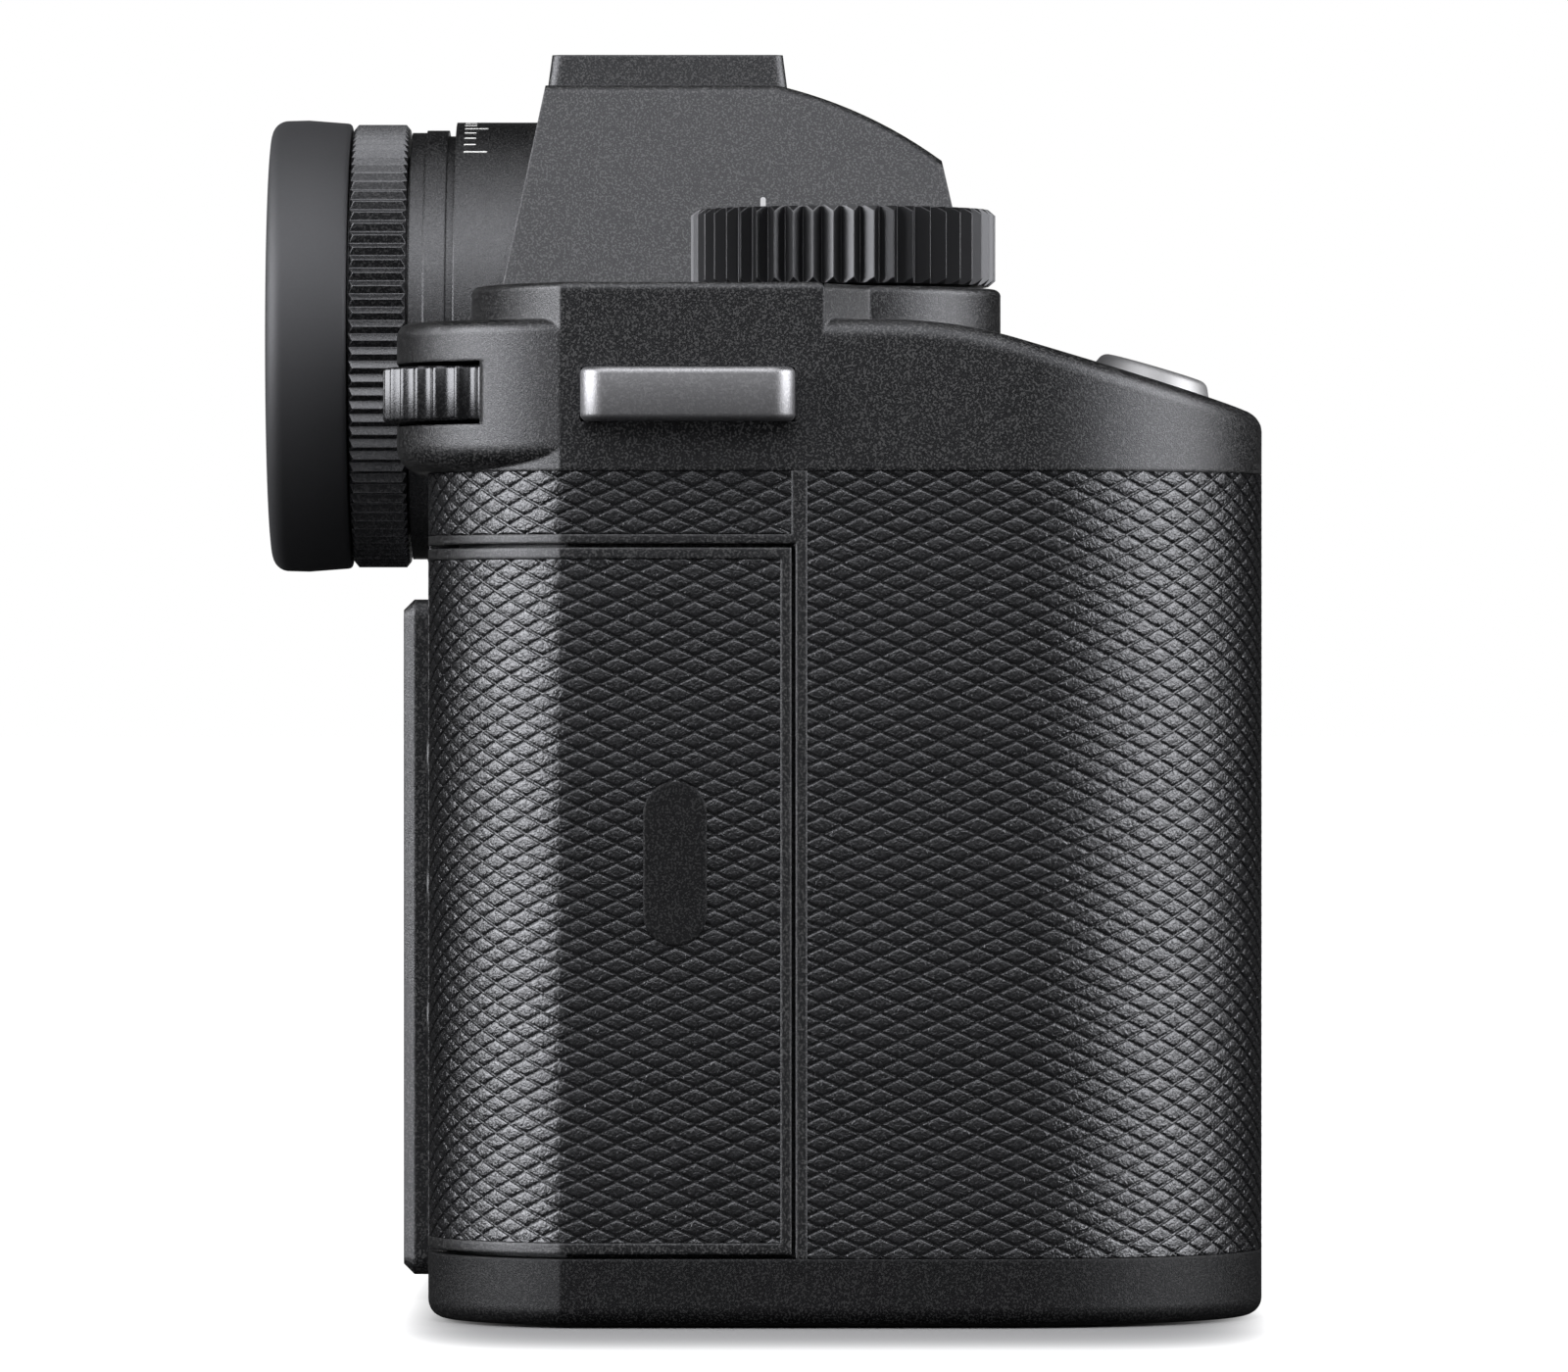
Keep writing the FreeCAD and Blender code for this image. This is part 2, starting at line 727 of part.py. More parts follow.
def shoulder_prism(drop, nose_inset):
    """Side outline of the deck and its slope, lowered for the inner space.

    It laps over the nose a little, so that the rounding crosses the wall and doesn't only touch it.
    """
    tangent = math.tan(math.radians(SLOPE_DEG))
    level = DECK_Z - drop
    nose_y = GRIP_Y - NOSE_LAP + nose_inset
    nose_z = level - (SLOPE_Y - nose_y) * tangent
    points = [(FAR, WAIST_Z), (FAR, level), (SLOPE_Y, level), (nose_y, nose_z), (nose_y, WAIST_Z)]
    prism = extruded(polygon(points, side), -FAR, FAR, "x")
    blend = edges_along(prism, "x", lambda p: abs(p.y - SLOPE_Y) < 0.01)
    prism = prism.makeFillet(SLOPE_BLEND_R, blend)
    nose = edges_along(prism, "x", lambda p: abs(p.y - nose_y) < 0.01 and p.z > WAIST_Z + 0.01)
    return prism.makeFillet(max(NOSE_EDGE_R - nose_inset, RIM_R), nose)


def shoulder():
    body = slab(0, WAIST_Z, DECK_Z + 1).common(shoulder_prism(0, 0))
    rim = [e for e in body.Edges if e.BoundBox.ZMin > WAIST_Z + 0.5 and not is_upright(e)]
    outline = [e for e in rim if on_outline(e)]
    return body.makeFillet(SHOULDER_RIM_R, outline)


def is_upright(edge):
    return edge.BoundBox.XLength < 1e-4 and edge.BoundBox.YLength < 1e-4


def on_outline(edge):
    """True where an edge of the shoulder lies on the side walls of the plan."""
    middle = edge.valueAt((edge.FirstParameter + edge.LastParameter) / 2)
    ground = Part.Vertex(Vector(middle.x, middle.y, 0))
    return plan_wire().distToShape(ground)[0] < 1e-3


def platform():
    """Raised part of the deck on the grip side."""
    wide = slab(0, DECK_Z - SHOULDER_RIM_R - GAP, PLATFORM_Z, PLATFORM_REAR_Y)
    zone = box((-FAR, PLATFORM_END_X), (PLATFORM_FRONT_Y, FAR), (0, FAR))
    raised = wide.common(zone)
    return raised.makeFillet(PLATFORM_RIM_R, edges_at_level(raised, PLATFORM_Z))


def hood():
    """Rear bulge that holds the thumb wheel."""
    wide = slab(0, WAIST_Z, DECK_Z, HOOD_Y)
    bulge = wide.common(box((-FAR, HOOD_END_X), (CREASE_Y, FAR), (0, FAR)))
    end = edges_along(bulge, "z", lambda p: p.x > HOOD_END_X - 0.1 and p.y > REAR_Y)
    bulge = bulge.makeFillet(HOOD_Y - REAR_Y - FIT, end)
    rear = [e for e in edges_at_level(bulge, WAIST_Z) if e.CenterOfMass.y > REAR_Y - 8]
    lower = [e for e in rear if e.BoundBox.YMax > REAR_Y + 0.5]
    bulge = bulge.makeFillet(HOOD_LIP_R, lower)
    upper = [e for e in edges_at_level(bulge, DECK_Z) if e.BoundBox.YMax > REAR_Y + 0.5]
    return bulge.makeFillet(RIM_R, upper)


def top_hollow():
    """Space under the deck, kept off the controls and the side walls."""
    inside = slab(WALL, WAIST_Z, DECK_Z).common(shoulder_prism(DECK_WALL, WALL))
    inside = inside.cut(wheel_disc(WALL, WALL))
    inside = inside.cut(rod("z", (DIAL_X, DIAL_Y), DIAL_SHAFT_R + WALL, 0, FAR))
    inside = inside.cut(rod("z", (LEFT_DIAL_X, LEFT_DIAL_Y), DIAL_SHAFT_R + WALL, 0, FAR))
    inside = inside.cut(tilted_rod(SHUTTER_R + WALL, SHUTTER_STEM + WALL + KEY_DEPTH, 1))
    inside = inside.cut(rod("z", (TOP_KEY_X, TOP_KEY_Y), KEY_R + WALL, 0, FAR))
    inside = inside.cut(rod("z", (POWER_KEY_X, POWER_KEY_Y), POWER_KEY_R + WALL, 0, FAR))
    for lug in lug_bars(WALL):
        inside = inside.cut(lug)
    return inside


def wheel_disc(radial, axial):
    half = WHEEL_THICK / 2 + axial
    return rod("z", (WHEEL_X, WHEEL_Y), WHEEL_R + radial, WHEEL_Z - half, WHEEL_Z + half)


def shutter_frame_axis():
    """Point on the slope under the shutter button, and the slope's normal."""
    angle = math.radians(SLOPE_DEG)
    z = DECK_Z - (SLOPE_Y - SHUTTER_Y) * math.tan(angle)
    return Vector(SHUTTER_X, SHUTTER_Y, z), Vector(0, -math.sin(angle), math.cos(angle))


def tilted_rod(radius, depth, proud):
    """Cylinder on the shutter button's axis."""
    foot, normal = shutter_frame_axis()
    return Part.makeCylinder(radius, depth + proud, foot - normal * depth, normal)


def dial_collar():
    """Round seat of the top dial, with a web that runs out from the platform's corner."""
    low = DECK_Z - DECK_WALL
    seat = rod("z", (DIAL_X, DIAL_Y), COLLAR_R, low, COLLAR_Z)
    web_y = PLATFORM_FRONT_Y - WEB_REACH
    web_x = DIAL_X - math.sqrt(COLLAR_R ** 2 - (web_y - DIAL_Y) ** 2)
    outline = [(GRIP_X + FIT, PLATFORM_FRONT_Y), (web_x, web_y), (DIAL_X, DIAL_Y),
               (DIAL_X, PLATFORM_FRONT_Y)]
    web = extruded(polygon(outline, flat), low, COLLAR_Z, "z")
    seat = seat.fuse(web).removeSplitter()
    rim = [e for e in edges_at_level(seat, COLLAR_Z) if e.BoundBox.YMin < PLATFORM_FRONT_Y - GAP]
    return seat.makeFillet(COLLAR_RIM_R, rim)


def top_plate():
    """Deck, slope, platform, hood and dial collar in one casting."""
    prow = box((-HUMP_FOOT_HALF, HUMP_FOOT_HALF), (HUMP_FRONT_FOOT_Y, 0), (WAIST_Z, DECK_Z))
    plate = shoulder().fuse(platform()).fuse(hood()).fuse(dial_collar()).fuse(prow)
    plate = plate.cut(top_hollow()).cut(barrel_bore()).cut(mount_bore(GAP))
    plate = plate.cut(hump_space(WAIST_Z, DECK_Z)).cut(wheel_disc(GAP, GAP))
    plate = plate.cut(rod("z", (WHEEL_X, WHEEL_Y), WHEEL_AXLE_R, WHEEL_Z - WHEEL_THICK,
                          WHEEL_Z + WHEEL_THICK))
    plate = plate.cut(dial_shaft_hole((DIAL_X, DIAL_Y), COLLAR_Z))
    plate = plate.cut(dial_shaft_hole((LEFT_DIAL_X, LEFT_DIAL_Y), DECK_Z))
    plate = plate.cut(tilted_rod(SHUTTER_R + GAP, SHUTTER_TRAVEL + GAP, 5))
    plate = plate.cut(tilted_rod(SHUTTER_STEM_R + GAP, SHUTTER_STEM + SHUTTER_TRAVEL + GAP, 0))
    plate = plate.cut(rod("z", (TOP_KEY_X, TOP_KEY_Y), KEY_R + GAP, DECK_Z - KEY_DEPTH, FAR))
    power = (POWER_KEY_X, POWER_KEY_Y)
    plate = plate.cut(rod("z", power, POWER_KEY_R + GAP, DECK_Z - KEY_DEPTH, FAR))
    plate = plate.cut(window_block(FIT))
    for lug in lug_bars(0):
        plate = plate.cut(lug)
    return plate


def dial_shaft_hole(centre, level):
    return rod("z", centre, DIAL_SHAFT_R + PIN_FIT, level - DIAL_SHAFT_DEPTH - GAP, FAR)


def window_block(clearance):
    half_width = WINDOW_WIDTH / 2 + clearance
    half_length = WINDOW_LENGTH / 2 + clearance
    return slab_block((WINDOW_X - half_width, WINDOW_X + half_width),
                      (WINDOW_Y - half_length, WINDOW_Y + half_length),
                      (PLATFORM_Z - WINDOW_THICK, PLATFORM_Z), WINDOW_R + clearance, "z")


def top_window():
    return window_block(0)


# Prism housing and shoe

def hump_solid(inset):
    """Prism housing: its side outline crossed with its tapered front outline."""
    rear_foot = HUMP_REAR_FOOT_Y - inset
    rear_top = HUMP_REAR_TOP_Y - inset
    top = HUMP_Z - inset
    brow_end = (BROW_END_Y + inset, BROW_END_Z - inset)
    brow = (BROW_Y, top)
    run = math.hypot(brow[0] - brow_end[0], brow[1] - brow_end[1])
    middle = ((brow[0] + brow_end[0]) / 2 - BROW_BULGE * (brow[1] - brow_end[1]) / run,
              (brow[1] + brow_end[1]) / 2 + BROW_BULGE * (brow[0] - brow_end[0]) / run)
    outline = closed_wire((rear_foot, DECK_Z), [
        ((rear_top, top),),
        (brow,),
        (middle, brow_end),
        ((HUMP_FRONT_FOOT_Y + inset, DECK_Z),),
        ((rear_foot, DECK_Z),),
    ], side)
    profile = extruded(outline, -FAR, FAR, "x")
    foot = HUMP_FOOT_HALF - inset
    crest = HUMP_TOP_HALF - inset
    taper = polygon([(-foot, DECK_Z), (foot, DECK_Z), (crest, HUMP_Z), (-crest, HUMP_Z)], front)
    return profile.common(extruded(taper, -FAR, FAR, "y"))


def hump_space(low, high):
    """Well under the prism housing, for the viewfinder block."""
    half = EVF_HALF_WIDTH + GAP
    return box((-half, half), (EVF_FRONT_Y - GAP, BARREL_FRONT_Y), (low, high))


def shoe_block():
    """Raised block round the accessory shoe, drawn in a little at its top."""
    def rectangle(grow, z):
        half = SHOE_BLOCK_HALF + grow
        y0 = SHOE_BLOCK_FRONT_Y - grow
        y1 = SHOE_BLOCK_REAR_Y + grow
        corners = [(-half, y0), (half, y0), (half, y1), (-half, y1)]
        return Part.makePolygon([Vector(x, y, z) for x, y in corners + corners[:1]])
    sections = [rectangle(SHOE_BLOCK_DRAFT, HUMP_Z - 1), rectangle(0, SHOE_BLOCK_Z)]
    block = Part.makeLoft(sections, True, True)
    corners = [e for e in block.Edges if e.BoundBox.ZLength > 1]
    return block.makeFillet(HUMP_EDGE_R, corners)


def shoe_space():
    top = SHOE_BLOCK_Z
    low = top - SHOE_RAIL - SHOE_SLOT_HEIGHT - SHOE_FLOOR
    return box((-SHOE_HALF, SHOE_HALF),
               (SHOE_BLOCK_FRONT_Y + SHOE_END_WALL, FAR), (low, top + 1))


def prism_housing():
    """Housing over the viewfinder, with the block of the accessory shoe."""
    hump = hump_solid(0)
    upper = [e for e in hump.Edges if e.BoundBox.ZMax > DECK_Z + 1 and e.BoundBox.YLength > 1]
    flanks = [e for e in upper if abs(e.CenterOfMass.x) > 5 and e.BoundBox.ZMin > DECK_Z + 1]
    hump = hump.makeFillet(HUMP_EDGE_R, flanks)
    hump = hump.fuse(shoe_block())
    hump = hump.cut(hump_solid(HUMP_WALL).cut(shoe_floor_block()))
    return hump.cut(shoe_space()).cut(barrel_bore()).cut(viewfinder_space(FIT))


def shoe_floor_block():
    """Metal kept under the shoe."""
    low = SHOE_BLOCK_Z - SHOE_RAIL - SHOE_SLOT_HEIGHT - SHOE_FLOOR - HUMP_WALL
    return box((-SHOE_BLOCK_HALF, SHOE_BLOCK_HALF),
               (SHOE_BLOCK_FRONT_Y, FAR), (low, FAR))


def hot_shoe():
    """Accessory shoe with its two rails, open to the rear."""
    low = SHOE_BLOCK_Z - SHOE_RAIL - SHOE_SLOT_HEIGHT - SHOE_FLOOR
    front_y = SHOE_BLOCK_FRONT_Y + SHOE_END_WALL
    body = box((-SHOE_HALF, SHOE_HALF), (front_y, SHOE_BLOCK_REAR_Y), (low, SHOE_BLOCK_Z))
    slot_low = low + SHOE_FLOOR
    slot_front = front_y + SHOE_END_WALL
    slot = box((-SHOE_SLOT_HALF, SHOE_SLOT_HALF), (slot_front, FAR),
               (slot_low, slot_low + SHOE_SLOT_HEIGHT))
    mouth = box((-SHOE_MOUTH_HALF, SHOE_MOUTH_HALF), (slot_front, FAR), (slot_low, FAR))
    return body.cut(slot).cut(mouth)


def shoe_contacts():
    """Centre contact and four small ones on the floor of the shoe."""
    floor = SHOE_BLOCK_Z - SHOE_RAIL - SHOE_SLOT_HEIGHT
    middle_y = (SHOE_BLOCK_FRONT_Y + SHOE_BLOCK_REAR_Y) / 2
    pads = [rod("z", (0, middle_y), SHOE_PIN_R, floor, floor + FIT)]
    for x in (-1, 1):
        for row in (1, 2):
            place = (x * 3 * SHOE_PIN_R, middle_y - row * 2 * SHOE_PIN_R)
            pads.append(rod("z", place, SHOE_SMALL_PIN_R, floor, floor + FIT))
    return Part.makeCompound(pads)


# Eyepiece

def eyepiece_barrel():
    """Fixed barrel with its groove, steps and the sleeve under the ring."""
    profile = [
        (BARREL_FRONT_Y, EYE_BORE_R), (BARREL_FRONT_Y, BARREL_R), (BARREL_REAR_Y, BARREL_R),
        (BARREL_REAR_Y, BARREL_GROOVE_R), (BARREL_REAR_Y + BARREL_GROOVE, BARREL_GROOVE_R),
        (BARREL_REAR_Y + BARREL_GROOVE, BARREL_STEP_R), (BARREL_STEP_Y, BARREL_STEP_R),
        (BARREL_STEP_Y, BARREL_END_R), (BARREL_END_Y, BARREL_END_R),
        (BARREL_END_Y, SLEEVE_R), (SLEEVE_END_Y, SLEEVE_R), (SLEEVE_END_Y, EYE_BORE_R),
    ]
    return turned((0, EYE_Z), profile)


def dioptre_ring():
    """Ring with fine straight ribs that turns on the sleeve."""
    start = BARREL_END_Y + 2 * FIT
    end = start + DIOPTRE_LENGTH
    wire = ribbed_wire((0, EYE_Z), DIOPTRE_R, DIOPTRE_RIB, DIOPTRE_RIBS, 0.5, front)
    ring = extruded(wire, start, end, "y")
    edge = DIOPTRE_RIB
    limit = turned((0, EYE_Z), [
        (start, SLEEVE_R + PIN_FIT), (start, DIOPTRE_R - edge), (start + edge, DIOPTRE_R + FIT),
        (end - edge, DIOPTRE_R + FIT), (end, DIOPTRE_R - edge), (end, SLEEVE_R + PIN_FIT),
    ])
    return ring.common(limit)


def eyecup():
    """Soft cup pushed over the end of the sleeve."""
    start = BARREL_END_Y + 4 * FIT + DIOPTRE_LENGTH
    outer = [(start, SLEEVE_R), (start, EYECUP_FRONT_R), (EYECUP_REAR_Y - EYECUP_EDGE_R, EYECUP_R)]
    for step in range(1, 4):
        angle = math.radians(30 * step)
        outer.append((EYECUP_REAR_Y - EYECUP_EDGE_R * (1 - math.sin(angle)),
                      EYECUP_R - EYECUP_EDGE_R * (1 - math.cos(angle))))
    inner = [(EYECUP_REAR_Y, EYECUP_MOUTH_R + EYECUP_EDGE_R / 2),
             (EYECUP_REAR_Y - EYECUP_EDGE_R / 2, EYECUP_MOUTH_R), (SLEEVE_END_Y, EYE_BORE_R),
             (SLEEVE_END_Y, SLEEVE_R)]
    return turned((0, EYE_Z), outer + inner)


def eyepiece_lens():
    """Rear lens in the sleeve, slightly domed."""
    radius = EYE_BORE_R - FIT
    front_y = EYE_LENS_REAR_Y - EYE_LENS_LENGTH
    dome = 0.6
    return turned((0, EYE_Z), [
        (front_y, 0), (front_y, radius), (EYE_LENS_REAR_Y - dome, radius),
        (EYE_LENS_REAR_Y - dome, radius * 0.92), (EYE_LENS_REAR_Y - dome / 3, radius * 0.55),
        (EYE_LENS_REAR_Y, radius * 0.2), (EYE_LENS_REAR_Y, 0),
    ])


def viewfinder_space(clearance):
    half_w = EVF_HALF_WIDTH + clearance
    half_h = EVF_HALF_HEIGHT + clearance
    return slab_block((-half_w, half_w), (EVF_FRONT_Y - clearance, BARREL_FRONT_Y),
                      (EYE_Z - half_h, EYE_Z + half_h), EVF_EDGE_R, "y")


def viewfinder_block():
    """Optical block with its small display, in the well under the housing."""
    block = viewfinder_space(0)
    bore = rod("y", (0, EYE_Z), EVF_BORE_R, EVF_FRONT_Y + EVF_PANEL, FAR)
    return block.cut(bore)


# Lens mount, baffle and contacts

def polar_xz(radius, degrees):
    return arc_point((0, LENS_Z), radius, degrees)


def mount_ring():
    """Steel flange with a plain pilot wall and bayonet tabs behind it."""
    back = FLANGE_Y + MOUNT_RING
    tab_y = back - BAYONET_TAB
    ring = tube("y", (0, LENS_Z), MOUNT_R, THROAT_R, FLANGE_Y, back)
    ring = ring.cut(rod("y", (0, LENS_Z), THROAT_R + THROAT_RELIEF, tab_y, back + 1))
    lip = tube("y", (0, LENS_Z), THROAT_R + THROAT_RELIEF + FIT, BAYONET_TAB_R, tab_y, back)
    for index in range(BAYONET_TABS):
        wedge = Part.makeCylinder(MOUNT_R, MOUNT_RING, Vector(0, FLANGE_Y, LENS_Z), AXES["y"],
                                  BAYONET_SPAN_DEG)
        turn = BAYONET_FIRST_DEG + index * 360 / BAYONET_TABS
        wedge.rotate(Vector(0, 0, LENS_Z), AXES["y"], turn)
        ring = ring.fuse(lip.common(wedge))
    for place in mount_screw_places():
        ring = ring.cut(rod("y", place, MOUNT_SCREW_R, FLANGE_Y - 1, back + 1))
    pin = polar_xz(MOUNT_SCREW_PITCH_R, lock_pin_angle())
    return ring.cut(rod("y", pin, LOCK_PIN_R + PIN_FIT, FLANGE_Y - 1, back + 1))


def lock_pin_angle():
    """Angle of the lock pin, in line with the release button."""
    return math.degrees(math.atan2(RELEASE_Z - LENS_Z, RELEASE_X))


def mount_screw_places():
    return [polar_xz(MOUNT_SCREW_PITCH_R, 360 * i / MOUNT_SCREWS) for i in range(MOUNT_SCREWS)]


def mount_screws():
    """Screw heads set just below the flange's face, each with a cross slot."""
    screws = []
    depth = (FLANGE_Y, FLANGE_Y + 2 * GAP)
    for x, z in mount_screw_places():
        head = rod("y", (x, z), MOUNT_SCREW_R, FLANGE_Y + FIT, FLANGE_Y + MOUNT_RING)
        long, short = MOUNT_SLOT_REACH, GAP / 2
        head = head.cut(box((x - long, x + long), depth, (z - short, z + short)))
        head = head.cut(box((x - short, x + short), depth, (z - long, z + long)))
        screws.append(head)
    return Part.makeCompound(screws)


def chassis():
    """Cast bulkhead that carries the mount, the shutter and the sensor."""
    plate = box((GRIP_INNER_X + WALL, PORT_X - PORT_THICK - 3 * WALL),
                (BULKHEAD_Y, BULKHEAD_Y + WALL), (BASE_TOP, WAIST_Z))
    plate = plate.common(slab(LEATHER + WALL, BASE_TOP, WAIST_Z))
    boss = rod("y", (0, LENS_Z), MOUNT_R, FLANGE_Y + MOUNT_RING, SHUTTER_FRONT_Y)
    body = plate.fuse(boss)
    body = body.cut(rod("y", (0, LENS_Z), BAFFLE_R + FIT, -FAR, FAR))
    cut_top = box((-FAR, FAR), (-FAR, FAR), (WAIST_Z, FAR))
    body = body.cut(cut_top.cut(rod("y", (0, LENS_Z), MOUNT_R, -FAR, FAR)))
    pin = polar_xz(MOUNT_SCREW_PITCH_R, lock_pin_angle())
    body = body.cut(rod("y", pin, LOCK_PIN_R + PIN_FIT, -FAR, SHUTTER_FRONT_Y - WALL))
    for z in (LENS_Z + FRONT_KEY_UP, LENS_Z - FRONT_KEY_DOWN):
        body = body.cut(rod("y", (FRONT_KEY_X, z), KEY_R + GAP, -FAR, 0))
    return body.cut(rod("y", (RELEASE_X, RELEASE_Z), RELEASE_R + GAP, -FAR, 0))


def throat_baffle():
    """Black light trap with a window a little larger than the picture."""
    front_y = SHUTTER_FRONT_Y - BAFFLE_DEPTH
    half_width = FRAME_WIDTH / 2 + BAFFLE_MARGIN
    half_height = FRAME_HEIGHT / 2 + BAFFLE_MARGIN
    block = rod("y", (0, LENS_Z), BAFFLE_R, front_y, SHUTTER_FRONT_Y)
    bowl = rod("y", (0, LENS_Z), BAFFLE_R - BAFFLE_WALL, front_y - 1,
               SHUTTER_FRONT_Y - BAFFLE_WALL)
    ledge = box((-FAR, FAR), (-FAR, FAR), (0, LENS_Z - CONTACT_LEDGE))
    window = slab_block((-half_width, half_width), (front_y - 1, SHUTTER_FRONT_Y + 1),
                        (LENS_Z - half_height, LENS_Z + half_height), BAFFLE_CORNER_R, "y")
    return block.cut(bowl.cut(ledge)).cut(window)


def lens_contacts():
    """Gold pads in an arc on the lower ledge of the baffle."""
    pads = []
    face = SHUTTER_FRONT_Y - BAFFLE_DEPTH
    first = 270 - CONTACT_PITCH_DEG * (CONTACTS - 1) / 2
    for index in range(CONTACTS):
        place = polar_xz(CONTACT_RING_R, first + CONTACT_PITCH_DEG * index)
        pads.append(rod("y", place, CONTACT_R, face - CONTACT_PROUD, face))
    return Part.makeCompound(pads)


# Shutter

def shutter_frame():
    """Two plates round the picture window, with a space for the leaves."""
    low = OPENING_LOW_Z - LEAF_HEIGHT - SHUTTER_BORDER
    high = OPENING_HIGH_Z + SHUTTER_BORDER
    frame = box((-SHUTTER_HALF_WIDTH, SHUTTER_HALF_WIDTH), (SHUTTER_FRONT_Y, SHUTTER_REAR_Y),
                (low, high))
    space = box((-LEAF_HALF_WIDTH - GAP, LEAF_HALF_WIDTH + GAP),
                (SHUTTER_FRONT_Y + SHUTTER_PLATE, SHUTTER_REAR_Y - SHUTTER_PLATE),
                (low + SHUTTER_RAIL, high - SHUTTER_RAIL))
    half_width = FRAME_WIDTH / 2 + GATE_MARGIN
    window = box((-half_width, half_width), (-FAR, FAR),
                 (OPENING_LOW_Z - GATE_MARGIN, OPENING_HIGH_Z + GATE_MARGIN))
    return frame.cut(space).cut(window)


def leaf(layer):
    """One curtain leaf parked under the picture window."""
    depth = SHUTTER_DEPTH - 2 * SHUTTER_PLATE
    centre = SHUTTER_FRONT_Y + SHUTTER_PLATE + depth * (layer + 0.5) / 2
    top = OPENING_LOW_Z - LEAF_PARK
    return box((-LEAF_HALF_WIDTH, LEAF_HALF_WIDTH), (centre - LEAF_THICK / 2, centre + LEAF_THICK / 2),
               (top - LEAF_HEIGHT, top))


def shutter_leaf_upper():
    return leaf(0)


def shutter_leaf_lower():
    return leaf(1)


# Sensor and stabiliser

def image_sensor():
    """Sensor package with a raised frame round the light-sensitive face."""
    half_w = FRAME_WIDTH / 2
    half_h = FRAME_HEIGHT / 2
    outer_w = half_w + SENSOR_BORDER
    outer_h = half_h + SENSOR_BORDER
    package = box((-outer_w, outer_w), (SENSOR_Y - SENSOR_WELL, SENSOR_REAR_Y),
                  (LENS_Z - outer_h, LENS_Z + outer_h))
    well = box((-half_w, half_w), (-FAR, SENSOR_Y), (LENS_Z - half_h, LENS_Z + half_h))
    return package.cut(well)


def sensor_glass():
    half_w = FRAME_WIDTH / 2 + GLASS_BORDER
    half_h = FRAME_HEIGHT / 2 + GLASS_BORDER
    back = SENSOR_Y - SENSOR_WELL
    return box((-half_w, half_w), (back - SENSOR_GLASS, back), (LENS_Z - half_h, LENS_Z + half_h))


def stabiliser_stage():
    """Moving plate behind the sensor with two coil pockets."""
    half_w = FRAME_WIDTH / 2 + STAGE_SIDE
    half_h = FRAME_HEIGHT / 2 + STAGE_TOP
    plate = slab_block((-half_w, half_w), (STAGE_FRONT_Y, STAGE_REAR_Y),
                       (LENS_Z - half_h, LENS_Z + half_h), STAGE_CORNER_R, "y")
    for x in (-half_w + COIL_INSET, half_w - COIL_INSET):
        plate = plate.cut(rod("y", (x, LENS_Z), COIL_R, -FAR, FAR))
    return plate


def sensor_base():
    """Fixed plate of the stabiliser on four posts from the bulkhead."""
    half_w = SHUTTER_HALF_WIDTH + POST_R + GAP
    low = OPENING_LOW_Z - LEAF_HEIGHT
    high = OPENING_HIGH_Z + LEAF_HEIGHT / 2
    rear = SENSOR_BASE_Y + SENSOR_BASE_THICK
    plate = slab_block((-half_w - POST_R, half_w + POST_R), (SENSOR_BASE_Y, rear),
                       (low - POST_R, high + POST_R), POST_R - FIT, "y")
    plate = plate.cut(rod("y", (0, LENS_Z), SENSOR_BASE_HOLE_R, -FAR, FAR))
    for x in (-half_w, half_w):
        for z in (low, high):
            plate = plate.fuse(rod("y", (x, z), POST_R, BULKHEAD_Y + WALL, SENSOR_BASE_Y))
    return plate


def main_board():
    """Circuit board with its processor, on four spacers."""
    half = SHUTTER_HALF_WIDTH + BOARD_BORDER
    rear = BOARD_Y + BOARD_THICK
    board = box((-half, half), (BOARD_Y, rear), (BASE_TOP + BOARD_LIFT, WAIST_Z - BOARD_DROP))
    spacer_front = SENSOR_BASE_Y + SENSOR_BASE_THICK
    for x in (-SHUTTER_HALF_WIDTH, SHUTTER_HALF_WIDTH):
        for z in (OPENING_LOW_Z - 3 * POST_R, OPENING_HIGH_Z - POST_R / 2):
            board = board.fuse(rod("y", (x, z), POST_R, spacer_front, BOARD_Y))
    chip = box((-CHIP_HALF, CHIP_HALF), (rear, rear + CHIP_THICK),
               (LENS_Z - CHIP_HALF, LENS_Z + CHIP_HALF))
    memory = box((MEMORY_X - MEMORY_HALF_WIDTH, MEMORY_X + MEMORY_HALF_WIDTH),
                 (rear, rear + MEMORY_THICK),
                 (LENS_Z - MEMORY_HALF_HEIGHT, LENS_Z + MEMORY_HALF_HEIGHT))
    return board.fuse(chip).fuse(memory)


# Dials, wheel and keys

def ribbed_dial(centre, radius, low, high, ribs, socket_level):
    """Dial with V-cut ribs, chamfered rims and a shaft in the deck."""
    wire = ribbed_wire(centre, radius, DIAL_RIB, ribs, 0.36, flat)
    body = extruded(wire, low, high, "z")
    edge = DIAL_CHAMFER
    limit = turned_up(centre, [
        (low, 0), (low, radius - edge), (low + edge, radius + FIT),
        (high - edge, radius + FIT), (high, radius - edge), (high, 0),
    ])
    body = body.common(limit)
    dish = rod("z", centre, radius - 3 * DIAL_RIB, high - 0.4, high + 1)
    shaft = rod("z", centre, DIAL_SHAFT_R, socket_level - DIAL_SHAFT_DEPTH, low)
    return body.cut(dish).fuse(shaft)


def top_dial():
    return ribbed_dial((DIAL_X, DIAL_Y), DIAL_R, DIAL_LOW_Z, DIAL_TOP_Z, DIAL_RIBS, COLLAR_Z)


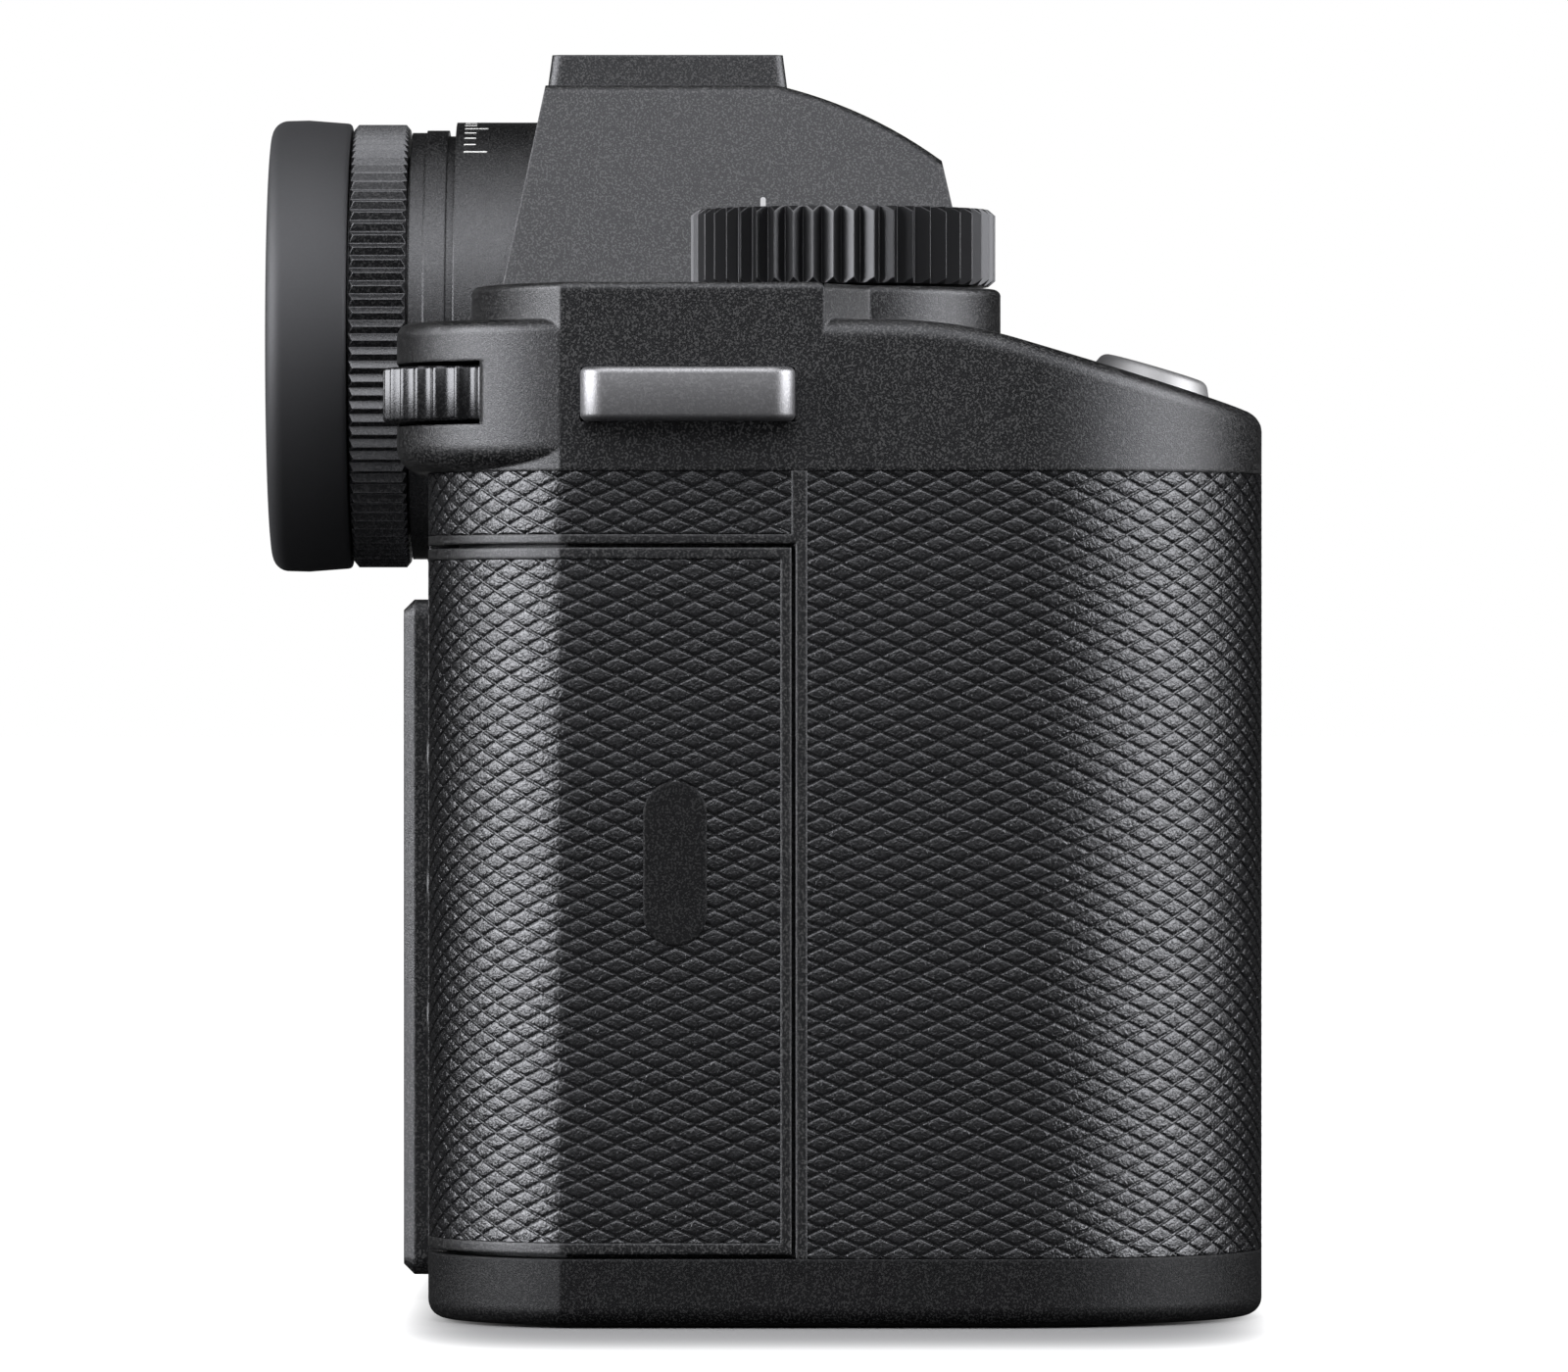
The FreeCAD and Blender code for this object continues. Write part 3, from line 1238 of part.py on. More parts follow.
def left_dial():
    return ribbed_dial((LEFT_DIAL_X, LEFT_DIAL_Y), LEFT_DIAL_R, LEFT_DIAL_LOW_Z,
                       LEFT_DIAL_TOP_Z, LEFT_DIAL_RIBS, DECK_Z)


def thumb_wheel():
    """Wheel with concave flutes, standing a little out of the hood."""
    wheel = wheel_disc(0, 0)
    pitch_r = WHEEL_R + WHEEL_FLUTE_R * 0.45
    low = WHEEL_Z - WHEEL_THICK
    for index in range(WHEEL_FLUTES):
        place = arc_point((WHEEL_X, WHEEL_Y), pitch_r, 360 * index / WHEEL_FLUTES)
        wheel = wheel.cut(rod("z", place, WHEEL_FLUTE_R, low, low + 2 * WHEEL_THICK))
    axle_half = WHEEL_THICK - GAP
    axle = rod("z", (WHEEL_X, WHEEL_Y), WHEEL_AXLE_R - PIN_FIT,
               WHEEL_Z - axle_half, WHEEL_Z + axle_half)
    return wheel.fuse(axle)


def shutter_button():
    """Disc with a coned edge on the slope, over a stem."""
    foot, normal = shutter_frame_axis()
    disc = Part.makeCone(SHUTTER_R, SHUTTER_R - SHUTTER_DRAFT, SHUTTER_PROUD, foot, normal)
    dish_r = SHUTTER_R * 2.6
    dish_centre = foot + normal * (SHUTTER_PROUD - 0.25 + dish_r)
    disc = disc.cut(Part.makeSphere(dish_r, dish_centre))
    stem = Part.makeCylinder(SHUTTER_STEM_R, SHUTTER_STEM, foot - normal * SHUTTER_STEM, normal)
    return disc.fuse(stem)


def upright_key(centre, radius):
    key = rod("z", centre, radius, DECK_Z - KEY_DEPTH + KEY_TRAVEL + FIT, DECK_Z + KEY_PROUD)
    return key.makeChamfer(0.3, edges_at_level(key, DECK_Z + KEY_PROUD))


def function_key_top():
    return upright_key((TOP_KEY_X, TOP_KEY_Y), KEY_R)


def power_key():
    return upright_key((POWER_KEY_X, POWER_KEY_Y), POWER_KEY_R)


def facing_key(x, z, radius, face, outward, depth):
    """Round key on a wall that faces the front (-1) or the rear (+1)."""
    outer = face + outward * KEY_PROUD
    inner = face - outward * depth
    edge = 0.3
    profile = [(inner, 0), (inner, radius), (outer - outward * edge, radius),
               (outer, radius - edge), (outer, 0)]
    return turned((x, z), profile)


def front_key_depth():
    return BULKHEAD_Y + WALL - FRONT_Y


def function_key_upper():
    z = LENS_Z + FRONT_KEY_UP
    return facing_key(FRONT_KEY_X, z, KEY_R, FRONT_Y, -1, front_key_depth())


def function_key_lower():
    z = LENS_Z - FRONT_KEY_DOWN
    return facing_key(FRONT_KEY_X, z, KEY_R, FRONT_Y, -1, front_key_depth())


def lens_release():
    return facing_key(RELEASE_X, RELEASE_Z, RELEASE_R, FRONT_Y - RELEASE_TRAVEL, -1,
                      front_key_depth() + RELEASE_TRAVEL)


def lock_pin():
    """Spring pin that holds a lens at its stop."""
    x, z = polar_xz(MOUNT_SCREW_PITCH_R, lock_pin_angle())
    rear = SHUTTER_FRONT_Y - WALL - RELEASE_TRAVEL - GAP
    return rod("y", (x, z), LOCK_PIN_R, FLANGE_Y - LOCK_PIN_PROUD, rear)


def rear_key_levels():
    return [REAR_KEY_TOP_Z - index * REAR_KEY_PITCH for index in range(3)]


def rear_key(index):
    z = rear_key_levels()[index]
    return facing_key(REAR_KEY_X, z, KEY_R, REAR_Y, 1, WALL + KEY_TRAVEL)


def rear_key_upper():
    return rear_key(0)


def rear_key_middle():
    return rear_key(1)


def rear_key_lower():
    return rear_key(2)


def joystick():
    """Small domed stick on a neck, with a cross pin on its tilt axis."""
    outer = REAR_Y + STICK_PROUD
    pin = rod("x", (REAR_Y - WALL, STICK_Z), STICK_PIN_R, REAR_KEY_X - STICK_R, REAR_KEY_X + STICK_R)
    stick = turned((REAR_KEY_X, STICK_Z), [
        (REAR_Y - WALL, 0), (REAR_Y - WALL, STICK_R), (REAR_Y - WALL + 1, STICK_R),
        (REAR_Y - WALL + 1, STICK_NECK_R), (outer - 1.2, STICK_NECK_R), (outer - 1.2, STICK_R - 0.6),
        (outer - 0.5, STICK_R - 0.6), (outer, STICK_R - 1.4), (outer, 0),
    ])
    return stick.fuse(pin)


# Strap lugs

def lug_bars(clearance):
    """Root pockets of both lugs in the side walls."""
    spans = [(GRIP_X - 1, GRIP_X + LUG_ROOT + clearance), (PORT_X - LUG_ROOT - clearance, PORT_X + 1)]
    bars = []
    for xs in spans:
        for y in (LUG_FRONT_Y, LUG_REAR_Y - LUG_LEG):
            bars.append(box(xs, (y - clearance, y + LUG_LEG + clearance),
                            (LUG_LOW_Z - clearance, LUG_HIGH_Z + clearance)))
    return bars


def strap_lug(wall, outward):
    """Square loop of steel; the strap passes between its bar and the wall."""
    near = wall - outward * LUG_ROOT
    far = wall + outward * LUG_PROUD
    xs = (min(near, far), max(near, far))
    loop = box(xs, (LUG_FRONT_Y, LUG_REAR_Y), (LUG_LOW_Z, LUG_HIGH_Z))
    corners = edges_along(loop, "z", lambda p: abs(p.x - far) < 0.1)
    loop = loop.makeFillet(LUG_EDGE_R, corners)
    rims = [e for e in edges_along(loop, "y") if abs(e.CenterOfMass.x - far) < 0.1]
    loop = loop.makeFillet(LUG_EDGE_R / 2, rims)
    inner = far - outward * LUG_BAR
    gap_xs = (min(near, inner) - (1 if outward > 0 else 0), max(near, inner) + (1 if outward < 0 else 0))
    slot = box(gap_xs, (LUG_FRONT_Y + LUG_LEG, LUG_REAR_Y - LUG_LEG), (-FAR, FAR))
    return loop.cut(slot)


def strap_lugs():
    return Part.makeCompound([strap_lug(GRIP_X, -1), strap_lug(PORT_X, 1)])


# Tilting display

def hinge_places():
    """Middle of the two hinge stations along X."""
    return (DISPLAY_LEFT_X + HINGE_INSET_X, DISPLAY_RIGHT_X - HINGE_INSET_X)


def hinge_ear(x, half, start_y, z):
    """Flat ear from a plate to the hinge axis, with a round end."""
    web = box((x - half, x + half), (start_y, HINGE_Y), (z - HINGE_R, z + HINGE_R))
    return web.fuse(rod("x", (HINGE_Y, z), HINGE_R, x - half, x + half))


def lug_offset():
    return HINGE_EAR / 2 + HINGE_GAP + HINGE_LUG / 2


def station_half():
    """Half width of a hinge station with its outer clearance."""
    return lug_offset() + HINGE_LUG / 2 + HINGE_GAP


def display_lugs():
    """Pairs of lugs on the base, either side of the arm's lower ears."""
    lugs = []
    for x in hinge_places():
        for side_of in (-1, 1):
            lug = hinge_ear(x + side_of * lug_offset(), HINGE_LUG / 2, RECESS_Y, HINGE_LOW_Z)
            lugs.append(lug.cut(rod("x", (HINGE_Y, HINGE_LOW_Z), HINGE_PIN_R + PIN_FIT, -FAR, FAR)))
    return lugs[0].multiFuse(lugs[1:])


def display_arm():
    """Flat frame between body and display, with ears and lower pins."""
    xs = (DISPLAY_LEFT_X + ARM_INSET, DISPLAY_RIGHT_X - ARM_INSET)
    rear = ARM_FRONT_Y + ARM_THICK
    low = HINGE_LOW_Z + HINGE_R
    high = HINGE_HIGH_Z - ARM_TOP_DROP
    frame = box(xs, (ARM_FRONT_Y, rear), (low, high))
    window = box((xs[0] + ARM_BORDER, xs[1] - ARM_BORDER), (-FAR, FAR),
                 (low + ARM_BORDER, high - ARM_BORDER))
    frame = frame.cut(window)
    for x in hinge_places():
        half = HINGE_EAR / 2
        foot = box((x - half, x + half), (ARM_FRONT_Y, rear), (HINGE_LOW_Z - HINGE_R, low))
        top = upper_ear(x, half, high)
        frame = frame.fuse(foot).fuse(hinge_ear(x, half, rear, HINGE_LOW_Z)).fuse(top)
        reach = station_half() - HINGE_GAP
        frame = frame.fuse(rod("x", (HINGE_Y, HINGE_LOW_Z), HINGE_PIN_R, x - reach, x + reach))
        frame = frame.cut(rod("x", (HINGE_Y, HINGE_HIGH_Z), HINGE_PIN_R + PIN_FIT, x - half - 1,
                              x + half + 1))
    return frame


def upper_ear(x, half, plate_top):
    """Ear that leans out from the plate's top edge to the display's pin."""
    eye = rod("x", (HINGE_Y, HINGE_HIGH_Z), HINGE_R, x - half, x + half)
    foot_y = ARM_FRONT_Y + ARM_THICK
    outline = polygon([
        (foot_y - ARM_THICK, plate_top), (foot_y - ARM_THICK, plate_top - 2 * HINGE_R),
        (foot_y, plate_top - 2 * HINGE_R), (HINGE_Y + HINGE_R * 0.7, HINGE_HIGH_Z - HINGE_R * 0.7),
        (HINGE_Y - HINGE_R * 0.7, HINGE_HIGH_Z + HINGE_R * 0.7),
    ], side)
    return extruded(outline, x - half, x + half, "x").fuse(eye)


def display_panel():
    """Housing of the display with chamfered edges, a bed for the glass and hinge notches."""
    body = slab_block((DISPLAY_LEFT_X, DISPLAY_RIGHT_X), (DISPLAY_FRONT_Y, DISPLAY_Y),
                      (DISPLAY_LOW_Z, DISPLAY_HIGH_Z), DISPLAY_CORNER_R, "y")
    rim = [e for e in body.Edges if abs(e.BoundBox.YMin - DISPLAY_Y) < 1e-4]
    body = body.makeChamfer(DISPLAY_EDGE, rim)
    back = [e for e in body.Edges if abs(e.BoundBox.YMax - DISPLAY_FRONT_Y) < 1e-4]
    body = body.makeChamfer(DISPLAY_BACK_EDGE, back)
    body = body.cut(glass_block(FIT))
    notch_rear = HINGE_Y + HINGE_R + HINGE_GAP
    for x in hinge_places():
        half = station_half()
        low = box((x - half, x + half), (-FAR, notch_rear), (-FAR, HINGE_LOW_Z + HINGE_R + HINGE_GAP))
        ear_half = HINGE_EAR / 2 + HINGE_GAP
        high = box((x - ear_half, x + ear_half), (-FAR, notch_rear),
                   (HINGE_HIGH_Z - ARM_TOP_DROP - 2 * HINGE_R - HINGE_GAP, FAR))
        pin = rod("x", (HINGE_Y, HINGE_HIGH_Z), HINGE_PIN_R, x - ear_half, x + ear_half)
        body = body.cut(low).cut(high).fuse(pin)
    return body


def glass_block(clearance):
    margin = DISPLAY_GLASS_MARGIN - clearance
    return box((DISPLAY_LEFT_X + margin, DISPLAY_RIGHT_X - margin),
               (DISPLAY_Y - DISPLAY_GLASS, DISPLAY_Y),
               (DISPLAY_LOW_Z + margin, DISPLAY_HIGH_Z - margin))


def display_glass():
    return glass_block(0)


# Card door, its carriage and the card slots

def door_front_skin(outer, inner, low, high, front_y):
    zone = box((-FAR, DOOR_EDGE_X), (front_y, FAR), (low, high))
    return skin(outer, inner, low, high).common(zone)


def card_door():
    """Door that wraps the rear corner, with its frame, bed and knuckle."""
    door = door_front_skin(0, DOOR_THICK, DOOR_LOW_Z, DOOR_HIGH_Z, DOOR_FRONT_Y)
    door = door.cut(door_leather_space())
    low = DOOR_LOW_Z + DOOR_EAR + GAP
    high = DOOR_HIGH_Z - DOOR_EAR - GAP
    knuckle = rod("z", (DOOR_HINGE_X, DOOR_HINGE_Y), DOOR_KNUCKLE_R, low, high)
    web = box((DOOR_EDGE_X - 1, DOOR_HINGE_X),
              (DOOR_HINGE_Y - GAP, DOOR_HINGE_Y + DOOR_KNUCKLE_R - GAP), (low, high))
    door = door.fuse(web).fuse(knuckle)
    door = door.cut(rod("z", (DOOR_HINGE_X, DOOR_HINGE_Y), DOOR_PIN_R + PIN_FIT, 0, FAR))
    return door.cut(pad_prism(0))


def door_leather_space():
    low = DOOR_LOW_Z + DOOR_FRAME
    high = DOOR_HIGH_Z - DOOR_FRAME
    zone = box((-FAR, DOOR_EDGE_X - DOOR_FRAME), (DOOR_FRONT_Y + DOOR_FRAME, FAR), (low, high))
    return skin(0, LEATHER, low, high).common(zone)


def door_leather():
    return door_leather_space().cut(pad_prism(0))


def pad_prism(grow):
    """Oval of the thumb pad, through the leather."""
    radius = PAD_WIDTH / 2 + grow
    low = PAD_LOW_Z + PAD_WIDTH / 2
    high = PAD_LOW_Z + PAD_LENGTH - PAD_WIDTH / 2
    xs = (GRIP_X - PAD_PROUD, GRIP_X + LEATHER)
    oval = box(xs, (PAD_CENTRE_Y - radius, PAD_CENTRE_Y + radius), (low, high))
    for z in (low, high):
        oval = oval.fuse(rod("x", (PAD_CENTRE_Y, z), radius, xs[0], xs[1]))
    return oval.removeSplitter()


def door_pad():
    return pad_prism(0)


def door_carriage():
    """Sliding bar with two ears and the hinge pin."""
    half = CARRIAGE_THICK / 2
    xs = (DOOR_HINGE_X - half, DOOR_HINGE_X + half)
    front_y = CARDS_REAR_Y + 2 * GAP
    bar_rear = DOOR_HINGE_Y - DOOR_KNUCKLE_R - GAP
    bar = box(xs, (front_y, bar_rear), (DOOR_LOW_Z, DOOR_HIGH_Z))
    for low in (DOOR_LOW_Z, DOOR_HIGH_Z - DOOR_EAR):
        web = box(xs, (front_y, DOOR_HINGE_Y), (low, low + DOOR_EAR))
        eye = rod("z", (DOOR_HINGE_X, DOOR_HINGE_Y), half, low, low + DOOR_EAR)
        bar = bar.fuse(web).fuse(eye)
    pin = rod("z", (DOOR_HINGE_X, DOOR_HINGE_Y), DOOR_PIN_R, DOOR_LOW_Z, DOOR_HIGH_Z)
    return bar.fuse(pin)


def card_slots():
    """Twin slots behind the door, open to the grip side."""
    block = box((-FAR, CARDS_X), (CARDS_FRONT_Y, CARDS_REAR_Y), (CARDS_LOW_Z, CARDS_HIGH_Z))
    block = block.common(slab(DOOR_RECESS, CARDS_LOW_Z, CARDS_HIGH_Z))
    middle_z = (CARDS_LOW_Z + CARDS_HIGH_Z) / 2
    wall = (CARDS_REAR_Y - CARDS_FRONT_Y - THIN_CARD - THICK_CARD) / 3
    thin_y = CARDS_FRONT_Y + wall
    thick_y = thin_y + THIN_CARD + wall
    end_x = GRIP_X + DOOR_RECESS + CARD_REACH
    for y, thick, width in ((thin_y, THIN_CARD, THIN_CARD_WIDTH),
                            (thick_y, THICK_CARD, THICK_CARD_WIDTH)):
        slot = box((-FAR, end_x), (y, y + thick), (middle_z - width / 2, middle_z + width / 2))
        block = block.cut(slot)
    return block


# Battery, bay and lever

def battery_prism(grow, low, high):
    """Rounded block on the battery's plan."""
    half_w = BATTERY_WIDTH / 2 + grow
    half_l = BATTERY_LENGTH / 2 + grow
    return slab_block((BATTERY_X - half_w, BATTERY_X + half_w),
                      (BATTERY_Y - half_l, BATTERY_Y + half_l), (low, high),
                      BATTERY_R + grow, "z")


def battery():
    """Pack with its own base cap, flush with the base plate."""
    cap = battery_prism(BATTERY_CAP_RIM, 0, BATTERY_CAP)
    cap = cap.makeChamfer(0.3, edges_at_level(cap, 0))
    pack = battery_prism(0, BATTERY_CAP, BATTERY_HEIGHT)
    pack = pack.makeFillet(0.8, edges_at_level(pack, BATTERY_HEIGHT))
    return cap.fuse(pack)


def battery_bay():
    """Sleeve round the pack, closed at its top by the contact block."""
    top = BATTERY_HEIGHT + BAY_GAP
    sleeve = battery_prism(BAY_GAP + BAY_WALL, BASE_TOP, top + BAY_WALL)
    return sleeve.cut(battery_prism(BAY_GAP, BASE_TOP - 1, top))


def lever_shape(grow, low, high):
    """Short bar with two round ends in the base."""
    radius = LEVER_R + grow
    end_x = LEVER_X + LEVER_LENGTH
    shape = box((LEVER_X, end_x), (LEVER_Y - radius, LEVER_Y + radius), (low, high))
    shape = shape.fuse(rod("z", (LEVER_X, LEVER_Y), radius, low, high))
    return shape.fuse(rod("z", (end_x, LEVER_Y), radius, low, high)).removeSplitter()


def lever_pocket():
    """Space that the lever sweeps in the base."""
    top = LEVER_THICK + 2 * GAP
    rest = lever_shape(GAP, -1, top)
    turned_lever = rest.copy()
    turned_lever.rotate(Vector(LEVER_X, LEVER_Y, 0), AXES["z"], LEVER_SWING)
    reach = LEVER_LENGTH + LEVER_R + GAP
    sector = Part.makeCylinder(reach, top + 1, Vector(LEVER_X, LEVER_Y, -1), AXES["z"], LEVER_SWING)
    return rest.fuse(turned_lever).fuse(sector)


def battery_lever():
    return lever_shape(0, GAP, GAP + LEVER_THICK)


# Port covers and sockets

def port_pin():
    return (PORT_X - PORT_KNUCKLE_R, PORT_REAR_Y + PORT_KNUCKLE_R)


def port_cover(low, high):
    """Flap in the port-side wall with a knuckle at its rear edge."""
    flap = box((PORT_X - PORT_THICK, PORT_X), (PORT_FRONT_Y, PORT_REAR_Y + PORT_KNUCKLE_R), (low, high))
    knuckle = rod("z", port_pin(), PORT_KNUCKLE_R, low, high)
    return flap.fuse(knuckle).removeSplitter()


def port_cover_upper():
    return port_cover(PORT_SPLIT_Z + GAP, PORT_HIGH_Z)


def port_cover_lower():
    return port_cover(PORT_LOW_Z, PORT_SPLIT_Z - GAP)


def port_block_space(clearance):
    return box((PORT_X - PORT_THICK - WALL - PORT_BLOCK_DEPTH, PORT_X - PORT_THICK - GAP),
               (PORT_FRONT_Y + 1 - clearance, PORT_REAR_Y - 1 + clearance),
               (PORT_LOW_Z + 2 - clearance, PORT_HIGH_Z - 2 + clearance))


def port_sockets():
    """Block with two round jacks above and two flat sockets below."""
    block = port_block_space(0)
    middle_y = (PORT_FRONT_Y + PORT_REAR_Y) / 2
    start = PORT_X - PORT_THICK - WALL - PORT_BLOCK_DEPTH + PORT_BLOCK_WALL
    upper = PORT_HIGH_Z - JACK_DROP
    for z in (upper, upper - JACK_PITCH):
        block = block.cut(rod("x", (middle_y, z), JACK_R, start, FAR))
    for z, length in ((PORT_SPLIT_Z - JACK_DROP, SMALL_PLUG), (PORT_LOW_Z + PLUG_RISE, LARGE_PLUG)):
        opening = box((start, FAR), (middle_y - PLUG_WIDTH / 2, middle_y + PLUG_WIDTH / 2),
                      (z - length / 2, z + length / 2))
        opening = opening.makeFillet(PLUG_WIDTH / 3, edges_along(opening, "x"))
        block = block.cut(opening)
    return block


def tripod_socket():
    return tube("z", (0, 0), TRIPOD_RING_R, TRIPOD_R, 0, TRIPOD_DEPTH)


PIECES = [
    chassis, front_shell, rear_shell, base_plate, top_plate, grip_leather, port_leather,
    thumb_leather, prism_housing, hot_shoe, shoe_contacts, mount_ring, mount_screws,
    throat_baffle, lens_contacts, lens_release, lock_pin, shutter_frame, shutter_leaf_upper,
    shutter_leaf_lower, image_sensor, sensor_glass, stabiliser_stage, sensor_base, main_board,
    viewfinder_block, eyepiece_barrel, eyepiece_lens, dioptre_ring, eyecup, top_dial, left_dial,
    thumb_wheel, shutter_button, function_key_top, function_key_upper, function_key_lower,
    power_key, joystick, rear_key_upper, rear_key_middle, rear_key_lower, top_window,
    strap_lugs, display_arm, display_panel, display_glass,
    card_door, door_leather, door_pad, door_carriage, card_slots, battery_bay, battery,
    battery_lever, port_cover_upper, port_cover_lower, port_sockets, tripod_socket, base_screws,
]


def main():
    os.makedirs("parts", exist_ok=True)
    for make in PIECES:
        shape = make()
        if not shape.isValid():
            print("not valid:", make.__name__)
        if len(shape.Solids) != 1:
            print(make.__name__, "has", len(shape.Solids), "solids")
        shape.exportStep(os.path.join("parts", make.__name__ + ".step"))
    print(len(PIECES), "pieces")


main()
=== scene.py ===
# %% [markdown]
# # A mirrorless camera body, dressed in Blender
# The CAD model gives every solid piece its true size and place. Here it gets its looks:
# soft studio light, satin black paint, an embossed leather skin, rubber, steel and glass.
# Each step first says what the real finish is and then builds it.

# %% Load the fixed frame
import bpy
import bmesh
import json
import math
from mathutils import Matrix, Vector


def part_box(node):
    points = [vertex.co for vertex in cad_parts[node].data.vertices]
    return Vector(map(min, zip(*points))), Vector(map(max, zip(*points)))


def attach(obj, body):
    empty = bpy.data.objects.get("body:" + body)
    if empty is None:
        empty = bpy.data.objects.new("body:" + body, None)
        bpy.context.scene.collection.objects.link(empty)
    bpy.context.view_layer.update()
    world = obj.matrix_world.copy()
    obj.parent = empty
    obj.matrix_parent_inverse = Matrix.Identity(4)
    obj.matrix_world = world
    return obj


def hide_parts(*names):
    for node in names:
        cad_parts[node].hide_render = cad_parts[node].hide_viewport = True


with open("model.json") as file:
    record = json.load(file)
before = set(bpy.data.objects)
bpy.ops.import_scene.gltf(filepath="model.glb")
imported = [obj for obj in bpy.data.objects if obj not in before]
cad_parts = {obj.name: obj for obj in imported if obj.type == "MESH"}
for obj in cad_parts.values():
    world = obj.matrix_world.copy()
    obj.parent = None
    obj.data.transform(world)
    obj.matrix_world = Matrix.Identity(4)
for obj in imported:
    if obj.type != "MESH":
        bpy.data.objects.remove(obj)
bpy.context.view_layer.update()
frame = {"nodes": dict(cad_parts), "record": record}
nodes = frame["nodes"]
MM = 0.001

# %% [markdown]
# ## Helpers for nodes
# The world, the floor and every finish are trees of nodes. One helper adds a node and sets or
# joins its inputs. The others are the kinds of node that come back most often.

# %% Node helpers


def set_inputs(tree, node, inputs):
    """Gives inputs their values; a value that is a socket is joined to the input."""
    for label, value in inputs.items():
        if isinstance(value, bpy.types.NodeSocket):
            tree.links.new(value, node.inputs[label])
        else:
            node.inputs[label].default_value = value


def add_node(tree, kind, inputs=None, **settings):
    """New node; its settings come first, because they decide which inputs it has."""
    node = tree.nodes.new(kind)
    for key, value in settings.items():
        setattr(node, key, value)
    set_inputs(tree, node, inputs or {})
    return node


def calculate(tree, operation, *values, clamp=False):
    """Result of a math node; each value is a number or a socket."""
    return add_node(tree, "ShaderNodeMath", dict(enumerate(values)), operation=operation,
                    use_clamp=clamp).outputs[0]


def ramp(tree, value, low=0.0, high=1.0, to_low=0.0, to_high=1.0, kind="LINEAR"):
    """Goes from one level to another between two limits, and stays level outside them."""
    return add_node(tree, "ShaderNodeMapRange", {
        "Value": value, "From Min": low, "From Max": high, "To Min": to_low, "To Max": to_high,
    }, interpolation_type=kind).outputs["Result"]


def noise(tree, scale, detail=2.0, roughness=0.5):
    """Outputs of a noise texture over the object's own coordinates, in metres."""
    return add_node(tree, "ShaderNodeTexNoise", {
        "Vector": add_node(tree, "ShaderNodeTexCoord").outputs["Object"],
        "Scale": scale, "Detail": detail, "Roughness": roughness}).outputs


print("node helpers ready")

# %% [markdown]
# ## Studio
# A black product is shot with large soft boxes. Two boxes above the viewpoint light the grip
# side, and one box at the front and one at the rear draw a long highlight down the rounded
# corners. A narrow box overhead touches the top, and a weak one fills the port side.
#
# The camera sees plain white. Reflections see a dark room, which is white only straight behind
# the object, so the outline of the body goes dark instead of grey.

# %% World and view settings
scene = bpy.context.scene
scene.view_settings.view_transform = "Standard"

world = bpy.data.worlds.new("studio_world")
scene.world = world
world.use_nodes = True
tree = world.node_tree
tree.nodes.clear()

# Directions: X is towards the backdrop, and Z is up.
direction = add_node(tree, "ShaderNodeTexCoord").outputs["Generated"]
toward = add_node(tree, "ShaderNodeSeparateXYZ", {0: direction}).outputs["X"]
room = ramp(tree, toward, -0.95, -0.2, 0.05, 0.015, kind="SMOOTHSTEP")
backdrop = ramp(tree, toward, 0.985, 0.998, kind="SMOOTHSTEP")
room = add_node(tree, "ShaderNodeMix", {"Factor": backdrop, "A": room, "B": 1.0},
                data_type="FLOAT").outputs["Result"]

path = add_node(tree, "ShaderNodeLightPath").outputs
white = add_node(tree, "ShaderNodeBackground", {
    "Color": (1.0, 1.0, 1.0, 1.0),
    "Strength": calculate(tree, "MAXIMUM", path["Is Camera Ray"], room)})
ambient = add_node(tree, "ShaderNodeBackground", {
    "Color": (0.96, 0.97, 1.0, 1.0), "Strength": 0.3})
seen = calculate(tree, "ADD", path["Is Camera Ray"], path["Is Glossy Ray"])
seen = calculate(tree, "ADD", seen, path["Is Transmission Ray"], clamp=True)
mix = add_node(tree, "ShaderNodeMixShader", {
    0: seen, 1: ambient.outputs[0], 2: white.outputs[0]})
add_node(tree, "ShaderNodeOutputWorld", {0: mix.outputs[0]})
print("world:", world.name)

# %% Soft boxes
TARGET = (-0.02, -0.005, 0.05)


def soft_box(name, place, width, height, radiance):
    """Area light of a given brightness, turned towards the camera body."""
    data = bpy.data.lights.new(name, "AREA")
    data.shape = "RECTANGLE"
    data.size = width
    data.size_y = height
    data.energy = radiance * math.pi * width * height
    lamp = bpy.data.objects.new(name, data)
    scene.collection.objects.link(lamp)
    lamp.location = place
    aim = [t - p for t, p in zip(TARGET, place)]
    flat = math.hypot(aim[0], aim[1])
    lamp.rotation_euler = (math.atan2(flat, -aim[2]), 0.0, math.atan2(-aim[0], aim[1]))
    lamp.visible_camera = False
    return lamp


lamps = [
    soft_box("box_above_camera", (-1.22, 0.0, 0.69), 1.0, 0.74, 0.9),
    soft_box("box_high", (-0.74, 0.0, 1.12), 1.0, 0.72, 3.2),
    soft_box("box_front_side", (-0.30, -1.16, 0.46), 1.18, 0.92, 6.2),
    soft_box("box_rear_side", (-0.37, 1.14, 0.46), 1.28, 0.92, 7.8),
    soft_box("box_overhead", (-0.05, 0.0, 1.30), 0.4, 1.0, 1.3),
    soft_box("box_port_side", (1.15, 0.1, 0.45), 0.8, 0.8, 1.2),
]
lamps[-1].visible_glossy = False
print("lamps:", [lamp.name for lamp in lamps])
